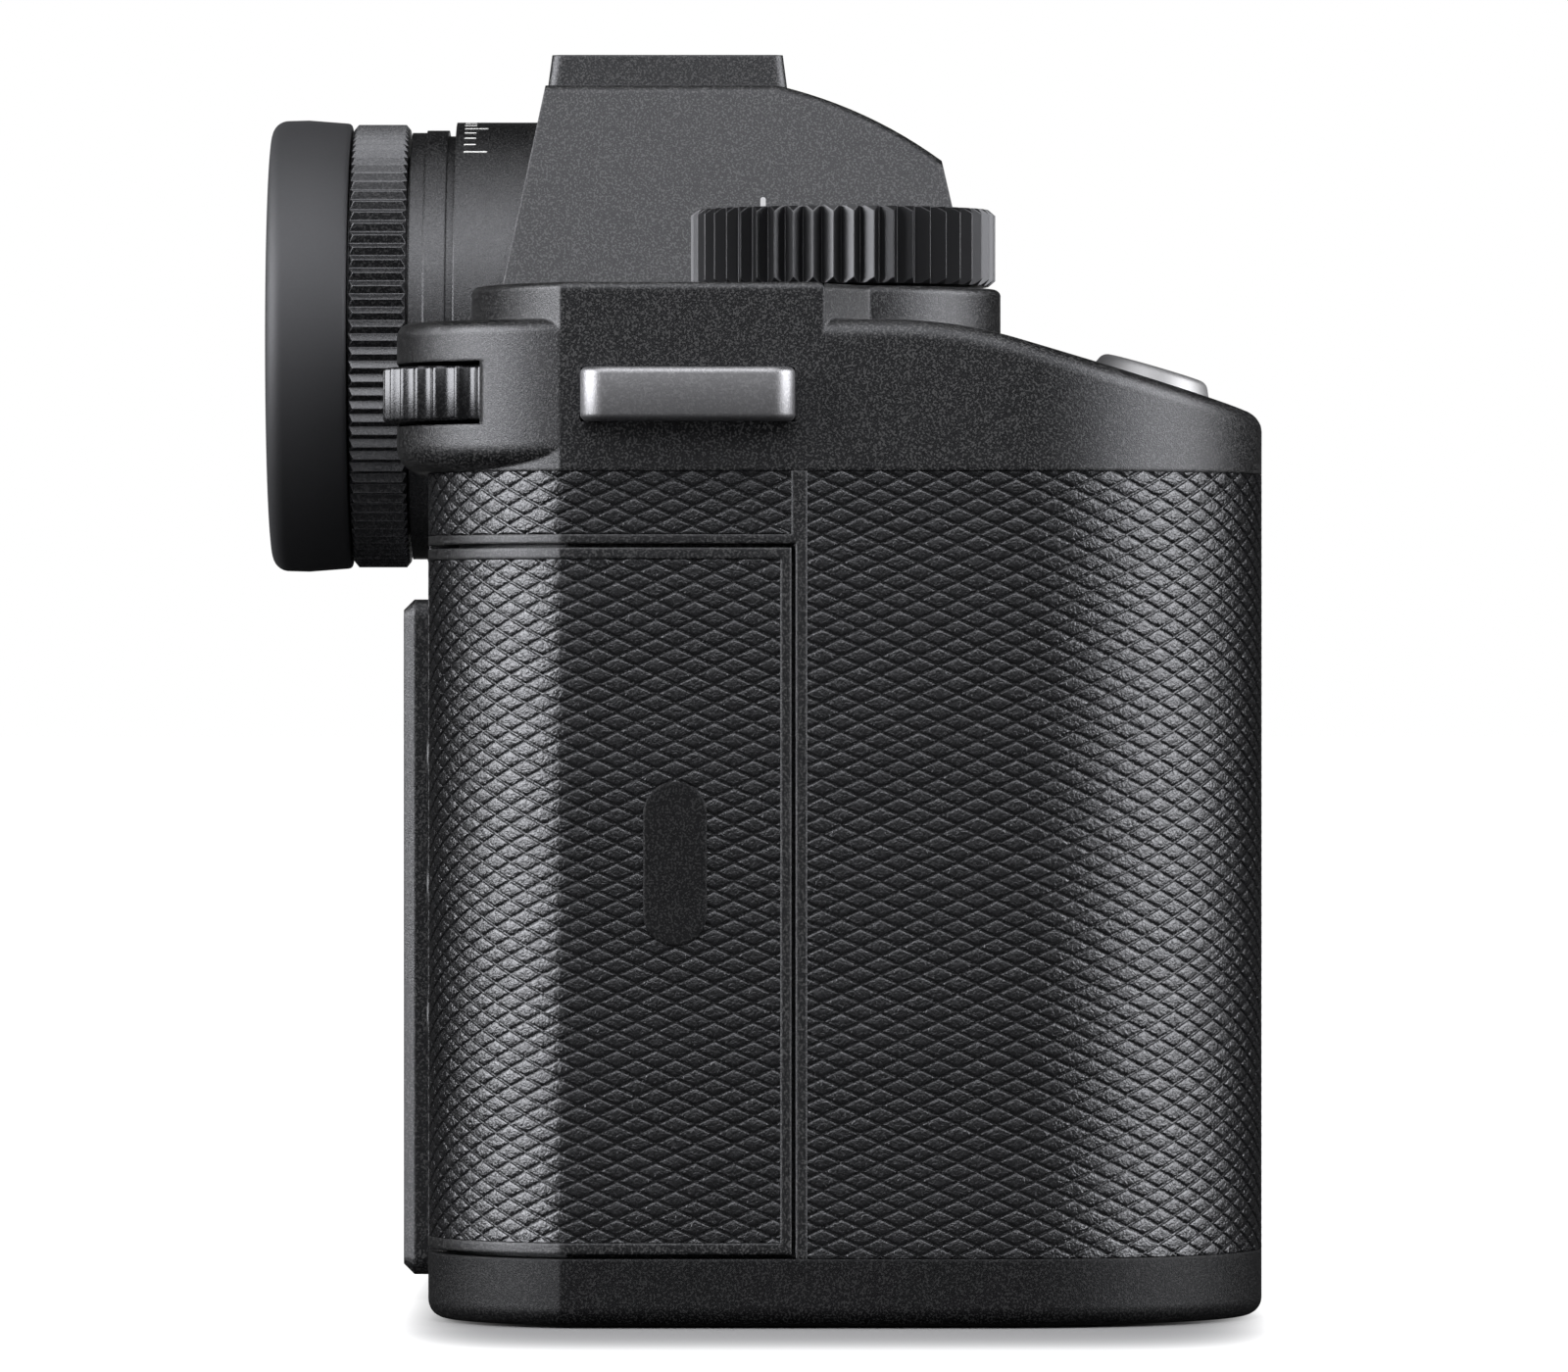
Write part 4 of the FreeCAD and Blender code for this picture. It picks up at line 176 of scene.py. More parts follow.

# %% [markdown]
# ## Floor
# The floor is a grey sheet that vanishes into the white background. For the camera it glows more
# and more away from the base, so the dark patch round the base is a painted shadow over the real
# one. It is rounded, and no extra light reaches the object. From below the sheet is clear.

# %% Floor
PAINTED_SHADOW_LONG, PAINTED_SHADOW_BESIDE = 0.045, 0.0018
bpy.ops.object.select_all(action="DESELECT")
bpy.ops.mesh.primitive_grid_add(x_subdivisions=4, y_subdivisions=4, size=24.0,
                                location=(0.0, 0.0, -0.0002))
floor = bpy.context.active_object
floor.name = "floor"
sheet = bpy.data.materials.new("white_sheet")
sheet.use_nodes = True
tree = sheet.node_tree
tree.nodes.clear()

# How far a point is from the base: 0 at its middle, and 1 where the painted shadow ends.
base_low, base_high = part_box("base_plate")
half = [(high - low) / 2 for low, high in zip(base_low, base_high)]
place = add_node(tree, "ShaderNodeTexCoord").outputs["Object"]
place = add_node(tree, "ShaderNodeSeparateXYZ", {0: place}).outputs
from_middle = [
    calculate(tree, "ABSOLUTE", calculate(tree, "SUBTRACT", place[label], (low + high) / 2))
    for label, low, high in zip("XY", base_low, base_high)]
along = calculate(tree, "SUBTRACT", from_middle[0], half[0], clamp=True)
along = calculate(tree, "DIVIDE", along, PAINTED_SHADOW_LONG)
across = calculate(tree, "DIVIDE", from_middle[1], half[1] + PAINTED_SHADOW_BESIDE)
reach = calculate(tree, "ADD", calculate(tree, "POWER", along, 2.0),
                  calculate(tree, "POWER", across, 8.0))

# Rays that come through the glass count as glossy, so they see the glow as the camera does.
path = add_node(tree, "ShaderNodeLightPath").outputs
seen = calculate(tree, "ADD", path["Is Camera Ray"], path["Is Glossy Ray"], clamp=True)
# The glow is held back near the base, which paints the shadow round it.
painted_shadow_fade = ramp(tree, reach, kind="SMOOTHSTEP")
glow = add_node(tree, "ShaderNodeEmission", {"Strength": calculate(tree, "MULTIPLY", seen, painted_shadow_fade)})
diffuse = add_node(tree, "ShaderNodeBsdfDiffuse", {"Color": (0.24, 0.24, 0.245, 1.0)})
added = add_node(tree, "ShaderNodeAddShader", {0: diffuse.outputs[0], 1: glow.outputs[0]})
mix = add_node(tree, "ShaderNodeMixShader", {
    0: add_node(tree, "ShaderNodeNewGeometry").outputs["Backfacing"],
    1: added.outputs[0],
    2: add_node(tree, "ShaderNodeBsdfTransparent").outputs[0]})
add_node(tree, "ShaderNodeOutputMaterial", {"Surface": mix.outputs[0]})
floor.data.materials.append(sheet)
floor.visible_glossy = False
print("floor:", floor.name)

# %% [markdown]
# ## Camera
# The photograph looks square on at the grip side from a little over a metre away, level with the
# middle of the body. A long lens keeps the sides nearly parallel.

# %% Camera
VIEW_DISTANCE, VIEW_Y, VIEW_Z = 1.060, -0.0052, 0.0523
NEAR_SIDE_X = -0.079
NEAR_SCALE = 0.0800 * MM
PHOTO_WIDTH, FILM_WIDTH = 1600, 36.0
camera_data = bpy.data.cameras.new("viewpoint")
camera_data.sensor_width = FILM_WIDTH
camera_data.lens = FILM_WIDTH * VIEW_DISTANCE / (PHOTO_WIDTH * NEAR_SCALE)
camera_data.clip_start = 0.05
camera_data.clip_end = 60.0
viewpoint = bpy.data.objects.new("viewpoint", camera_data)
scene.collection.objects.link(viewpoint)
viewpoint.location = (NEAR_SIDE_X - VIEW_DISTANCE, VIEW_Y, VIEW_Z)
viewpoint.rotation_euler = (math.radians(90), 0.0, math.radians(-90))
scene.camera = viewpoint
print("lens:", round(camera_data.lens, 1))

# %% [markdown]
# ## Helpers for materials
# Every finish starts as a Principled surface. A shared effect is a node group: it is started
# with its inputs, ended with its results, and placed in each material that needs it.

# %% Material helpers


def new_material(name, colour, roughness, metallic=0.0, specular=0.5):
    """Material with a Principled surface; returns it with its tree and the surface node."""
    material = bpy.data.materials.new(name)
    material.use_nodes = True
    surface = material.node_tree.nodes["Principled BSDF"]
    set_inputs(material.node_tree, surface, {
        "Base Color": (*colour, 1.0), "Roughness": roughness, "Metallic": metallic,
        "Specular IOR Level": specular})
    return material, material.node_tree, surface


def mix_colours(tree, factor, first, second):
    """Mix of two colours; each is a socket or three numbers."""
    inputs = {"Factor": factor}
    for label, colour in (("A", first), ("B", second)):
        inputs[label] = colour if isinstance(colour, bpy.types.NodeSocket) else (*colour, 1.0)
    return add_node(tree, "ShaderNodeMix", inputs, data_type="RGBA").outputs["Result"]


def bumped(tree, height, depth, **inputs):
    """Normal with a relief; its depth is in millimetres."""
    return add_node(tree, "ShaderNodeBump", {
        "Height": height, "Distance": depth * MM, **inputs}).outputs["Normal"]


def group_start(name, inputs, outputs):
    """Empty node group with named value sockets; returns it with what comes in."""
    group = bpy.data.node_groups.new(name, "ShaderNodeTree")
    for label, value in inputs.items():
        socket = group.interface.new_socket(label, in_out="INPUT", socket_type="NodeSocketFloat")
        socket.default_value = value
    for label in outputs:
        kind = "NodeSocketVector" if label == "Normal" else "NodeSocketFloat"
        group.interface.new_socket(label, in_out="OUTPUT", socket_type=kind)
    return group, add_node(group, "NodeGroupInput").outputs


def group_end(group, results):
    add_node(group, "NodeGroupOutput", results)
    print("group:", group.name)


def place_group(tree, group, **inputs):
    """Outputs of a shared effect that is placed in a material."""
    inputs = {label.replace("_", " "): value for label, value in inputs.items()}
    return add_node(tree, "ShaderNodeGroup", inputs, node_tree=group).outputs


print("material helpers ready")

# %% [markdown]
# ## Shared effects
# Three effects come back on many finishes, so each is a node group: a fine grain with pale
# flecks, softened edges with a mask for wear and for a painted edge highlight, and the wrinkles
# of pressed leather.
# All of them read Object coordinates in metres, so their scales are real sizes.

# %% Group: fine grain
FLECK_COARSER = 1.7
grain, given = group_start("fine_grain", {"Size mm": 0.15}, ("Height", "Speckle", "Cloud"))
per_metre = calculate(grain, "DIVIDE", 1000.0, given["Size mm"])
flecks = noise(grain, calculate(grain, "DIVIDE", per_metre, FLECK_COARSER), detail=0.0)
group_end(grain, {
    "Height": noise(grain, per_metre, roughness=0.6)["Fac"],
    "Speckle": ramp(grain, flecks["Fac"], 0.53, 0.64),
    "Cloud": noise(grain, 90.0)["Fac"]})

# %% Group: softened edges
# The solids have crisp edges. A rounded normal catches the light there as a real edge does,
# and the turn between the true and the rounded normal marks where hands polish the paint, and
# where the knurled metal gets a painted highlight.
edges, given = group_start("soft_edges", {"Radius": 0.0002}, ("Normal", "Edge"))
rounded = add_node(edges, "ShaderNodeBevel", {"Radius": given["Radius"]}, samples=6).outputs[0]
true_side = add_node(edges, "ShaderNodeNewGeometry").outputs["Normal"]
turn = add_node(edges, "ShaderNodeVectorMath", {0: rounded, 1: true_side},
                operation="DOT_PRODUCT").outputs["Value"]
group_end(edges, {"Normal": rounded, "Edge": ramp(edges, turn, 0.995, 0.86)})

# %% Group: leather wrinkles
# Pressed leather keeps its own fine creases on top of each diamond: short ridges, not dots.
WANDER, CREASE_WIDE, CREASE_SHARE = 0.0009, 0.30, 0.55
wrinkles, given = group_start("leather_wrinkles", {"Size mm": 0.5}, ("Height", "Cloud"))
per_metre = calculate(wrinkles, "DIVIDE", 1000.0, given["Size mm"])
coords = add_node(wrinkles, "ShaderNodeTexCoord").outputs["Object"]
wander = add_node(wrinkles, "ShaderNodeVectorMath", {
    0: noise(wrinkles, per_metre)["Color"], 1: (WANDER, WANDER, WANDER), 2: coords},
    operation="MULTIPLY_ADD").outputs["Vector"]
ridges = add_node(wrinkles, "ShaderNodeTexVoronoi", {"Vector": wander, "Scale": per_metre},
                  feature="DISTANCE_TO_EDGE").outputs["Distance"]
crease = ramp(wrinkles, ridges, high=CREASE_WIDE)
pebble = noise(wrinkles, per_metre, detail=1.0)["Fac"]
group_end(wrinkles, {
    "Height": calculate(wrinkles, "MULTIPLY_ADD", crease, CREASE_SHARE, pebble),
    "Cloud": noise(wrinkles, 60.0)["Fac"]})

# %% [markdown]
# ## Finishes
# Most of the body is one of a few finishes that differ in colour, gloss and the size of their
# grain. One helper builds a grained finish: base colour that drifts a little, pale flecks, paler
# edges for wear and, on knurled metal, for a painted highlight, and a bump from the grain over
# the softened edges.

# %% Helper for a grained finish
FLECK_GAIN, FLECK_LIFT = 1.5, 0.038
GLOSS_DRIFT = 0.06
COOL = (0.93, 0.94, 1.0)


def grained(name, colour, roughness, metallic=0.0, specular=0.5, size=0.15, bump=0.02,
            drift=0.25, speckle=0.0, wear_and_highlight=0.25, wear_and_highlight_colour=(0.10, 0.10, 0.105), radius=0.2,
            tint=None):
    """Finish with grain; sizes and bump depth are in millimetres."""
    material, tree, surface = new_material(name, colour, roughness, metallic, specular)
    texture = place_group(tree, grain, Size_mm=size)
    softened = place_group(tree, edges, Radius=radius * MM)
    body = mix_colours(tree, texture["Cloud"], [c * (1.0 - drift) for c in colour],
                       [c * (1.0 + drift) for c in colour])
    dotted = mix_colours(tree, calculate(tree, "MULTIPLY", texture["Speckle"], speckle), body,
                         [min(1.0, c * FLECK_GAIN + FLECK_LIFT) for c in colour])
    # Paler edges: worn paint, and on the knurled metal also a painted highlight along the ribs.
    worn_and_highlit = mix_colours(tree, calculate(tree, "MULTIPLY", softened["Edge"], wear_and_highlight), dotted,
                       wear_and_highlight_colour)
    set_inputs(tree, surface, {
        "Base Color": worn_and_highlit,
        "Roughness": ramp(tree, texture["Height"], to_low=roughness - GLOSS_DRIFT,
                          to_high=roughness + GLOSS_DRIFT),
        "Normal": bumped(tree, texture["Height"], bump, Normal=softened["Normal"])})
    if tint:
        set_inputs(tree, surface, {"Specular Tint": (*tint, 1.0)})
    return material


print("finish helper ready")

# %% Paint, metal, plastic and rubber
finishes = {}
finishes["body_black"] = grained(
    "satin_black_paint", (0.0010, 0.0010, 0.0012), 0.33, specular=0.74, size=0.10, bump=0.036,
    speckle=1.0, wear_and_highlight=0.05, radius=0.35, tint=COOL)
finishes["base_black"] = grained(
    "rough_base_paint", (0.0015, 0.0015, 0.0017), 0.48, specular=0.26, size=0.10, bump=0.04,
    speckle=0.4, wear_and_highlight=0.05, radius=0.35, tint=COOL)
finishes["anodised_black"] = grained(
    "black_anodised_metal", (0.004, 0.004, 0.0045), 0.32, specular=0.8, size=0.10, bump=0.004,
    wear_and_highlight=0.35, radius=0.12, tint=COOL)
finishes["barrel_black"] = grained(
    "fine_black_barrel_paint", (0.0010, 0.0010, 0.0012), 0.28, specular=1.0, size=0.09,
    bump=0.033, speckle=0.8, wear_and_highlight=0.05, radius=0.2, tint=COOL)
# Its pale edges are partly wear and partly a painted highlight on the knurl.
finishes["knurled_black"] = grained(
    "knurled_black_metal", (0.004, 0.004, 0.0045), 0.28, specular=1.0, size=0.12, bump=0.02,
    speckle=0.6, wear_and_highlight=0.7, wear_and_highlight_colour=(0.16, 0.16, 0.17), radius=0.12, tint=COOL)
finishes["white_paint"] = grained(
    "white_marking_paint", (0.80, 0.80, 0.79), 0.5, size=0.2, bump=0.002, drift=0.05, wear_and_highlight=0.0,
    radius=0.03)
finishes["grey_paint"] = grained(
    "grey_marking_paint", (0.40, 0.40, 0.41), 0.55, size=0.2, bump=0.002, drift=0.05, wear_and_highlight=0.0,
    radius=0.03)
finishes["wheel_black"] = grained(
    "polished_black_wheel", (0.003, 0.003, 0.0035), 0.27, specular=1.0, size=0.12, bump=0.010,
    speckle=0.3, wear_and_highlight=0.2, radius=0.15, tint=COOL)
finishes["key_black"] = grained(
    "satin_black_key", (0.005, 0.005, 0.0055), 0.38, specular=0.8, size=0.12, bump=0.004,
    wear_and_highlight=0.2, radius=0.25, tint=COOL)
finishes["inner_plastic"] = grained(
    "matt_black_plastic", (0.012, 0.012, 0.012), 0.65, specular=0.3, size=0.25, bump=0.015,
    wear_and_highlight=0.05)
finishes["leaf_black"] = grained(
    "matt_shutter_black", (0.014, 0.014, 0.015), 0.5, specular=0.4, size=0.4, bump=0.003,
    wear_and_highlight=0.1)
finishes["eyecup_rubber"] = grained(
    "matt_rubber", (0.010, 0.010, 0.011), 0.62, specular=1.0, size=0.22, bump=0.006,
    wear_and_highlight=0.0, radius=0.5, tint=COOL)
finishes["port_rubber"] = grained(
    "ribbed_cover_rubber", (0.016, 0.016, 0.017), 0.58, specular=0.4, size=0.2, bump=0.010,
    wear_and_highlight=0.05, radius=0.4, tint=COOL)
finishes["steel"] = grained(
    "bright_steel", (0.40, 0.395, 0.39), 0.46, metallic=1.0, size=0.3, bump=0.002,
    drift=0.05, wear_and_highlight=0.3, wear_and_highlight_colour=(0.75, 0.74, 0.73), radius=0.12)
finishes["screw_steel"] = grained(
    "black_oxide_screw", (0.05, 0.05, 0.052), 0.34, metallic=1.0, size=0.2, bump=0.003,
    wear_and_highlight=0.6, wear_and_highlight_colour=(0.35, 0.35, 0.36), radius=0.1)
finishes["lug_steel"] = grained(
    "satin_chromed_lug", (0.29, 0.29, 0.305), 0.44, metallic=1.0, size=0.14, bump=0.012,
    drift=0.06, speckle=0.25, wear_and_highlight=0.0, radius=0.2)
finishes["satin_silver"] = grained(
    "satin_silver", (0.36, 0.36, 0.37), 0.54, metallic=1.0, size=0.1, bump=0.002,
    drift=0.04, wear_and_highlight=0.2, wear_and_highlight_colour=(0.8, 0.8, 0.8), radius=0.2)
finishes["gold"] = grained(
    "gold_plate", (0.83, 0.58, 0.24), 0.22, metallic=1.0, size=0.2, bump=0.001,
    drift=0.05, wear_and_highlight=0.0, radius=0.08)
finishes["cast_metal"] = grained(
    "cast_magnesium", (0.20, 0.20, 0.20), 0.5, metallic=0.8, size=0.35, bump=0.03,
    wear_and_highlight=0.3, wear_and_highlight_colour=(0.4, 0.4, 0.4), radius=0.3)
finishes["battery_shell"] = grained(
    "battery_shell", (0.016, 0.016, 0.017), 0.45, specular=0.4, size=0.2, bump=0.01,
    wear_and_highlight=0.1, radius=0.3, tint=COOL)
finishes["board"] = grained(
    "circuit_board", (0.008, 0.06, 0.028), 0.35, size=0.8, bump=0.01, speckle=0.6, wear_and_highlight=0.1)
print("finishes:", sorted(finishes))

# %% [markdown]
# ## Glass and the sensor
# The eyepiece glass and the cover over the sensor have a thin coating, which tints their
# reflection. The display is a dark sheet with a clear hard top, so it is a deep grey under a
# sharp coat. The sensor has a faint grid and a green to violet sheen that turns with the angle.

# %% Glass, display and sensor


def smeared(tree, low, high):
    """Roughness of glass that fingers have touched."""
    return ramp(tree, place_group(tree, grain)["Cloud"], to_low=low, to_high=high)


clear_glass, tree, surface = new_material("coated_glass", (0.90, 0.95, 1.0), 0.03, specular=0.6)
set_inputs(tree, surface, {
    "Transmission Weight": 1.0, "IOR": 1.52, "Specular Tint": (0.75, 0.85, 1.0, 1.0),
    "Roughness": smeared(tree, 0.01, 0.06)})
finishes["optic_glass"] = clear_glass

screen, tree, surface = new_material("display_glass", (0.012, 0.012, 0.014), 0.07)
set_inputs(tree, surface, {
    "Coat Weight": 0.6, "Coat Roughness": 0.03, "Roughness": smeared(tree, 0.04, 0.14)})
finishes["display_glass"] = screen

PIXELS_PER_METRE, PIXELS_SHOW = 12000.0, 0.15
sensor, tree, surface = new_material("sensor_face", (0.02, 0.03, 0.035), 0.22, specular=0.25)
angle = add_node(tree, "ShaderNodeLayerWeight", {"Blend": 0.35}).outputs["Facing"]
sheen = add_node(tree, "ShaderNodeValToRGB", {"Fac": angle})
sheen.color_ramp.elements[0].color = (0.020, 0.050, 0.045, 1.0)
sheen.color_ramp.elements[1].color = (0.060, 0.025, 0.070, 1.0)
coords = add_node(tree, "ShaderNodeTexCoord").outputs["Object"]
pixels = add_node(tree, "ShaderNodeTexChecker", {"Vector": coords, "Scale": PIXELS_PER_METRE})
set_inputs(tree, surface, {"Base Color": mix_colours(
    tree, PIXELS_SHOW, sheen.outputs["Color"], pixels.outputs["Color"])})
finishes["sensor_face"] = sensor
print("glass:", clear_glass.name, screen.name, sensor.name)

# %% [markdown]
# ## Leather
# The skin is pressed with a net of V grooves that leaves raised diamonds, 3.2 mm wide and
# 1.5 mm high. The diamonds are modelled, because their bevels catch the light one by one; only
# the fine creases on top are in the material. It is black, and glossier where it is creased.

# %% Leather material
leather, tree, surface = new_material("embossed_leather", (0.004, 0.004, 0.0045), 0.26,
                                      specular=1.0)
marks = place_group(tree, wrinkles, Size_mm=0.42)
set_inputs(tree, surface, {
    "Specular Tint": (*COOL, 1.0),
    "Base Color": mix_colours(tree, marks["Cloud"], (0.002, 0.002, 0.0022),
                              (0.007, 0.007, 0.0076)),
    "Roughness": ramp(tree, marks["Height"], to_low=0.20, to_high=0.32),
    "Normal": bumped(tree, marks["Height"], 0.038)})
finishes["leather_black"] = leather
print("leather:", leather.name)

# %% [markdown]
# ## Dress the CAD nodes
# The record says which finish each node has, and four nodes get a finer choice here. A node's
# mesh stays as it is; only the material in its slots changes.

# %% Give every node its finish


def give(obj, material):
    obj.data.materials.clear()
    obj.data.materials.append(material)


slot_of = {row["node"]: row["material_slot"] for row in frame["record"]["subparts"]}
finer = {"base_plate": "base_black", "door_pad": "base_black",
         "dioptre_ring": "knurled_black", "eyepiece_barrel": "barrel_black"}
for name, node in nodes.items():
    give(node, finishes[finer.get(name, slot_of[name])])
print("dressed:", len(slot_of), "nodes in", len(set(slot_of.values())), "finishes")

# %% [markdown]
# ## Modelling helpers
# Blender's operators act on what is selected, so each piece starts with a clean selection. Faces
# and edges are picked in code by where they are or which way they face. The short names for the
# operators take millimetres.

# %% Selection and editing helpers


def mode(name):
    bpy.ops.object.mode_set(mode=name)


def fresh():
    if bpy.context.object and bpy.context.object.mode != "OBJECT":
        mode("OBJECT")
    bpy.ops.object.select_all(action="DESELECT")


def pick(obj, kind, test):
    """In edit mode, selects just the faces, edges or vertices that pass a test."""
    bpy.ops.mesh.select_mode(type=kind)
    bpy.ops.mesh.select_all(action="DESELECT")
    mesh = bmesh.from_edit_mesh(obj.data)
    for member in {"FACE": mesh.faces, "EDGE": mesh.edges, "VERT": mesh.verts}[kind]:
        if test(member):
            member.select_set(True)
    mesh.select_flush_mode()
    bmesh.update_edit_mesh(obj.data)


def pick_all():
    bpy.ops.mesh.select_all(action="SELECT")


def facing(axis, sign):
    """Test for the faces that look along an axis, forwards or backwards."""
    return lambda face: sign * getattr(face.normal, axis) > 0.9


def rise(edge):
    """Difference of height between the two ends of an edge, in metres."""
    return abs(edge.verts[0].co.z - edge.verts[1].co.z)


def apply_place(**what):
    """Bakes an object's place and turn, but not its scale, into its mesh."""
    bpy.ops.object.transform_apply(**{"location": True, "rotation": True, "scale": False, **what})


def inset(thickness, depth=0.0, each=False):
    bpy.ops.mesh.inset(thickness=thickness * MM, depth=depth * MM, use_individual=each)


def extrude(y=0.0, z=0.0):
    bpy.ops.mesh.extrude_region_move(TRANSFORM_OT_translate={"value": (0, y * MM, z * MM)})


def bevel(width, segments):
    bpy.ops.mesh.bevel(offset=width * MM, segments=segments, affect="EDGES")


def widen(ratio, centre):
    """Moves the selection away from an axis along Y, or towards it."""
    bpy.ops.transform.resize(value=(ratio, 1.0, ratio), center_override=centre)


def keep_only(obj):
    fresh()
    obj.select_set(True)
    bpy.context.view_layer.objects.active = obj


def join_pieces(pieces):
    fresh()
    for piece in pieces:
        piece.select_set(True)
    bpy.context.view_layer.objects.active = pieces[0]
    bpy.ops.object.join()


def apply_modifiers(obj):
    keep_only(obj)
    for modifier in list(obj.modifiers):
        bpy.ops.object.modifier_apply(modifier=modifier.name)


def cylinder(centre, radius, deep, axis="Y", sides=96, turn=0.0):
    """Cylinder along an axis; the turn is about Z, in degrees."""
    fresh()
    quarter = math.radians(90)
    rotation = {"X": (0, quarter, 0), "Y": (quarter, 0, 0), "Z": (0, 0, math.radians(turn))}[axis]
    bpy.ops.mesh.primitive_cylinder_add(
        vertices=sides, radius=radius * MM, depth=deep * MM,
        location=[value * MM for value in centre], rotation=rotation)
    apply_place()
    return bpy.context.active_object


def block(low, high):
    """Block between two corners."""
    fresh()
    bpy.ops.mesh.primitive_cube_add(
        size=1.0, location=[(a + b) / 2 * MM for a, b in zip(low, high)])
    obj = bpy.context.active_object
    obj.scale = [(b - a) * MM for a, b in zip(low, high)]
    apply_place(scale=True)
    return obj


def finish_piece(obj, name, material, body, angle=30):
    """Places the piece for good, smooths it, and gives it its finish and its body."""
    keep_only(obj)
    apply_place(scale=True)
    bpy.ops.object.shade_smooth_by_angle(angle=math.radians(angle))
    obj.name = name
    obj.data.name = name
    give(obj, material)
    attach(obj, body)
    print(name, len(obj.data.polygons), "faces")
    return obj


print("modelling helpers ready")

# %% [markdown]
# ## Plan of the body
# The skins wrap round the body, so each is made flat and then bent along a line on the plan. The
# line is a Bezier curve: straight runs with arcs between them, and a crease at the rear corner.

# %% Curves along the plan


def arc_run(centre, radius, first, last):
    """Bezier knots of an arc, as (point, handle before, handle after), in millimetres."""
    parts = max(1, math.ceil(abs(last - first) / 45.0))
    step = math.radians((last - first) / parts)
    reach = 4 / 3 * math.tan(step / 4) * radius
    knots = []
    for index in range(parts + 1):
        turn = math.radians(first) + index * step
        x = centre[0] + radius * math.cos(turn)
        y = centre[1] + radius * math.sin(turn)
        along = (-math.sin(turn) * reach, math.cos(turn) * reach)
        knots.append([(x, y), (x - along[0], y - along[1]), (x + along[0], y + along[1])])
    knots[0][1] = None
    knots[-1][2] = None
    return knots


def corner(x, y):
    return [[(x, y), None, None]]


def plan_curve(name, runs):
    """Curve object through runs of knots; a missing handle points straight at the neighbour."""
    knots = [knot for run in runs for knot in run]
    merged = [knots[0]]
    for knot in knots[1:]:
        before = merged[-1]
        if math.dist(knot[0], before[0]) < 1e-4:
            before[2] = knot[2]
        else:
            merged.append(knot)
    line = bpy.data.curves.new(name, "CURVE")
    line.dimensions = "2D"
    line.resolution_u = 64
    spline = line.splines.new("BEZIER")
    spline.bezier_points.add(len(merged) - 1)
    for index, (point, before, after) in enumerate(merged):
        bezier = spline.bezier_points[index]
        bezier.handle_left_type = "FREE"
        bezier.handle_right_type = "FREE"
        previous = merged[max(index - 1, 0)][0]
        following = merged[min(index + 1, len(merged) - 1)][0]
        left = before or [p + (q - p) / 3 for p, q in zip(point, previous)]
        right = after or [p + (q - p) / 3 for p, q in zip(point, following)]
        bezier.co = (point[0] * MM, point[1] * MM, 0)
        bezier.handle_left = (left[0] * MM, left[1] * MM, 0)
        bezier.handle_right = (right[0] * MM, right[1] * MM, 0)
    obj = bpy.data.objects.new(name, line)
    scene.collection.objects.link(obj)
    length = spline.calc_length(resolution=256) / MM
    print(name, round(length, 2), "mm long")
    return obj, length


GRIP_X, PORT_X, REAR_Y, FRONT_Y, SEAM_Y = -79.0, 61.5, 24.3, -20.0, -7.1
REAR_CORNER, REAR_CORNER_R, CREASE_DEG = (-62.0, 5.8), 18.5, 156.76
grip_line, grip_length = plan_curve("grip_line", [
    corner(GRIP_X, SEAM_Y), arc_run((-57, -23), 22, 180, 270), arc_run((-57, -34), 11, 270, 360),
    corner(-46, -26.5), arc_run((-39.5, -26.5), 6.5, 180, 90), corner(0, FRONT_Y)])
port_line, port_length = plan_curve("port_line", [
    corner(0, FRONT_Y), arc_run((46, -4.5), 15.5, 270, 350.34)])
door_line, door_length = plan_curve("door_line", [
    arc_run(REAR_CORNER, REAR_CORNER_R, 93.72, CREASE_DEG), corner(GRIP_X, -4.9)])
thumb_line, thumb_length = plan_curve("thumb_line", [
    corner(-47.1, REAR_Y), arc_run(REAR_CORNER, REAR_CORNER_R, 90, CREASE_DEG),
    corner(GRIP_X, -5.8)])

# %% [markdown]
# ## Embossed sheets
# One flat slab of diamonds is made like this: a grid gets a back, each front cell is poked to
# its centre, and the old grid lines are dissolved, which leaves diamonds. A few insets raise each
# diamond over its groove with a rounded shoulder. Then the slab is cut to size and bent.

# %% Sheet of raised diamonds
DIAMOND_WIDE, DIAMOND_HIGH = 3.18, 1.53
GROOVE, SKIN, HAIRLINE = 0.20, 0.76, 0.06
PHASE_X, PHASE_Z = 0.63 * DIAMOND_WIDE, 0.4
# Each inset goes in by the first number and out by the second.
SHOULDER = ((0.05, 0.0), (0.06, 0.13), (0.12, 0.055), (0.12, 0.01))


def on_grid(edge):
    """Whether an edge lies on the front and runs straight along the old grid."""
    ends = [vert.co for vert in edge.verts]
    return (edge.is_manifold and all(face.normal.y < -0.9 for face in edge.link_faces) and
            min(abs(ends[0].x - ends[1].x), abs(ends[0].z - ends[1].z)) < 1e-6)


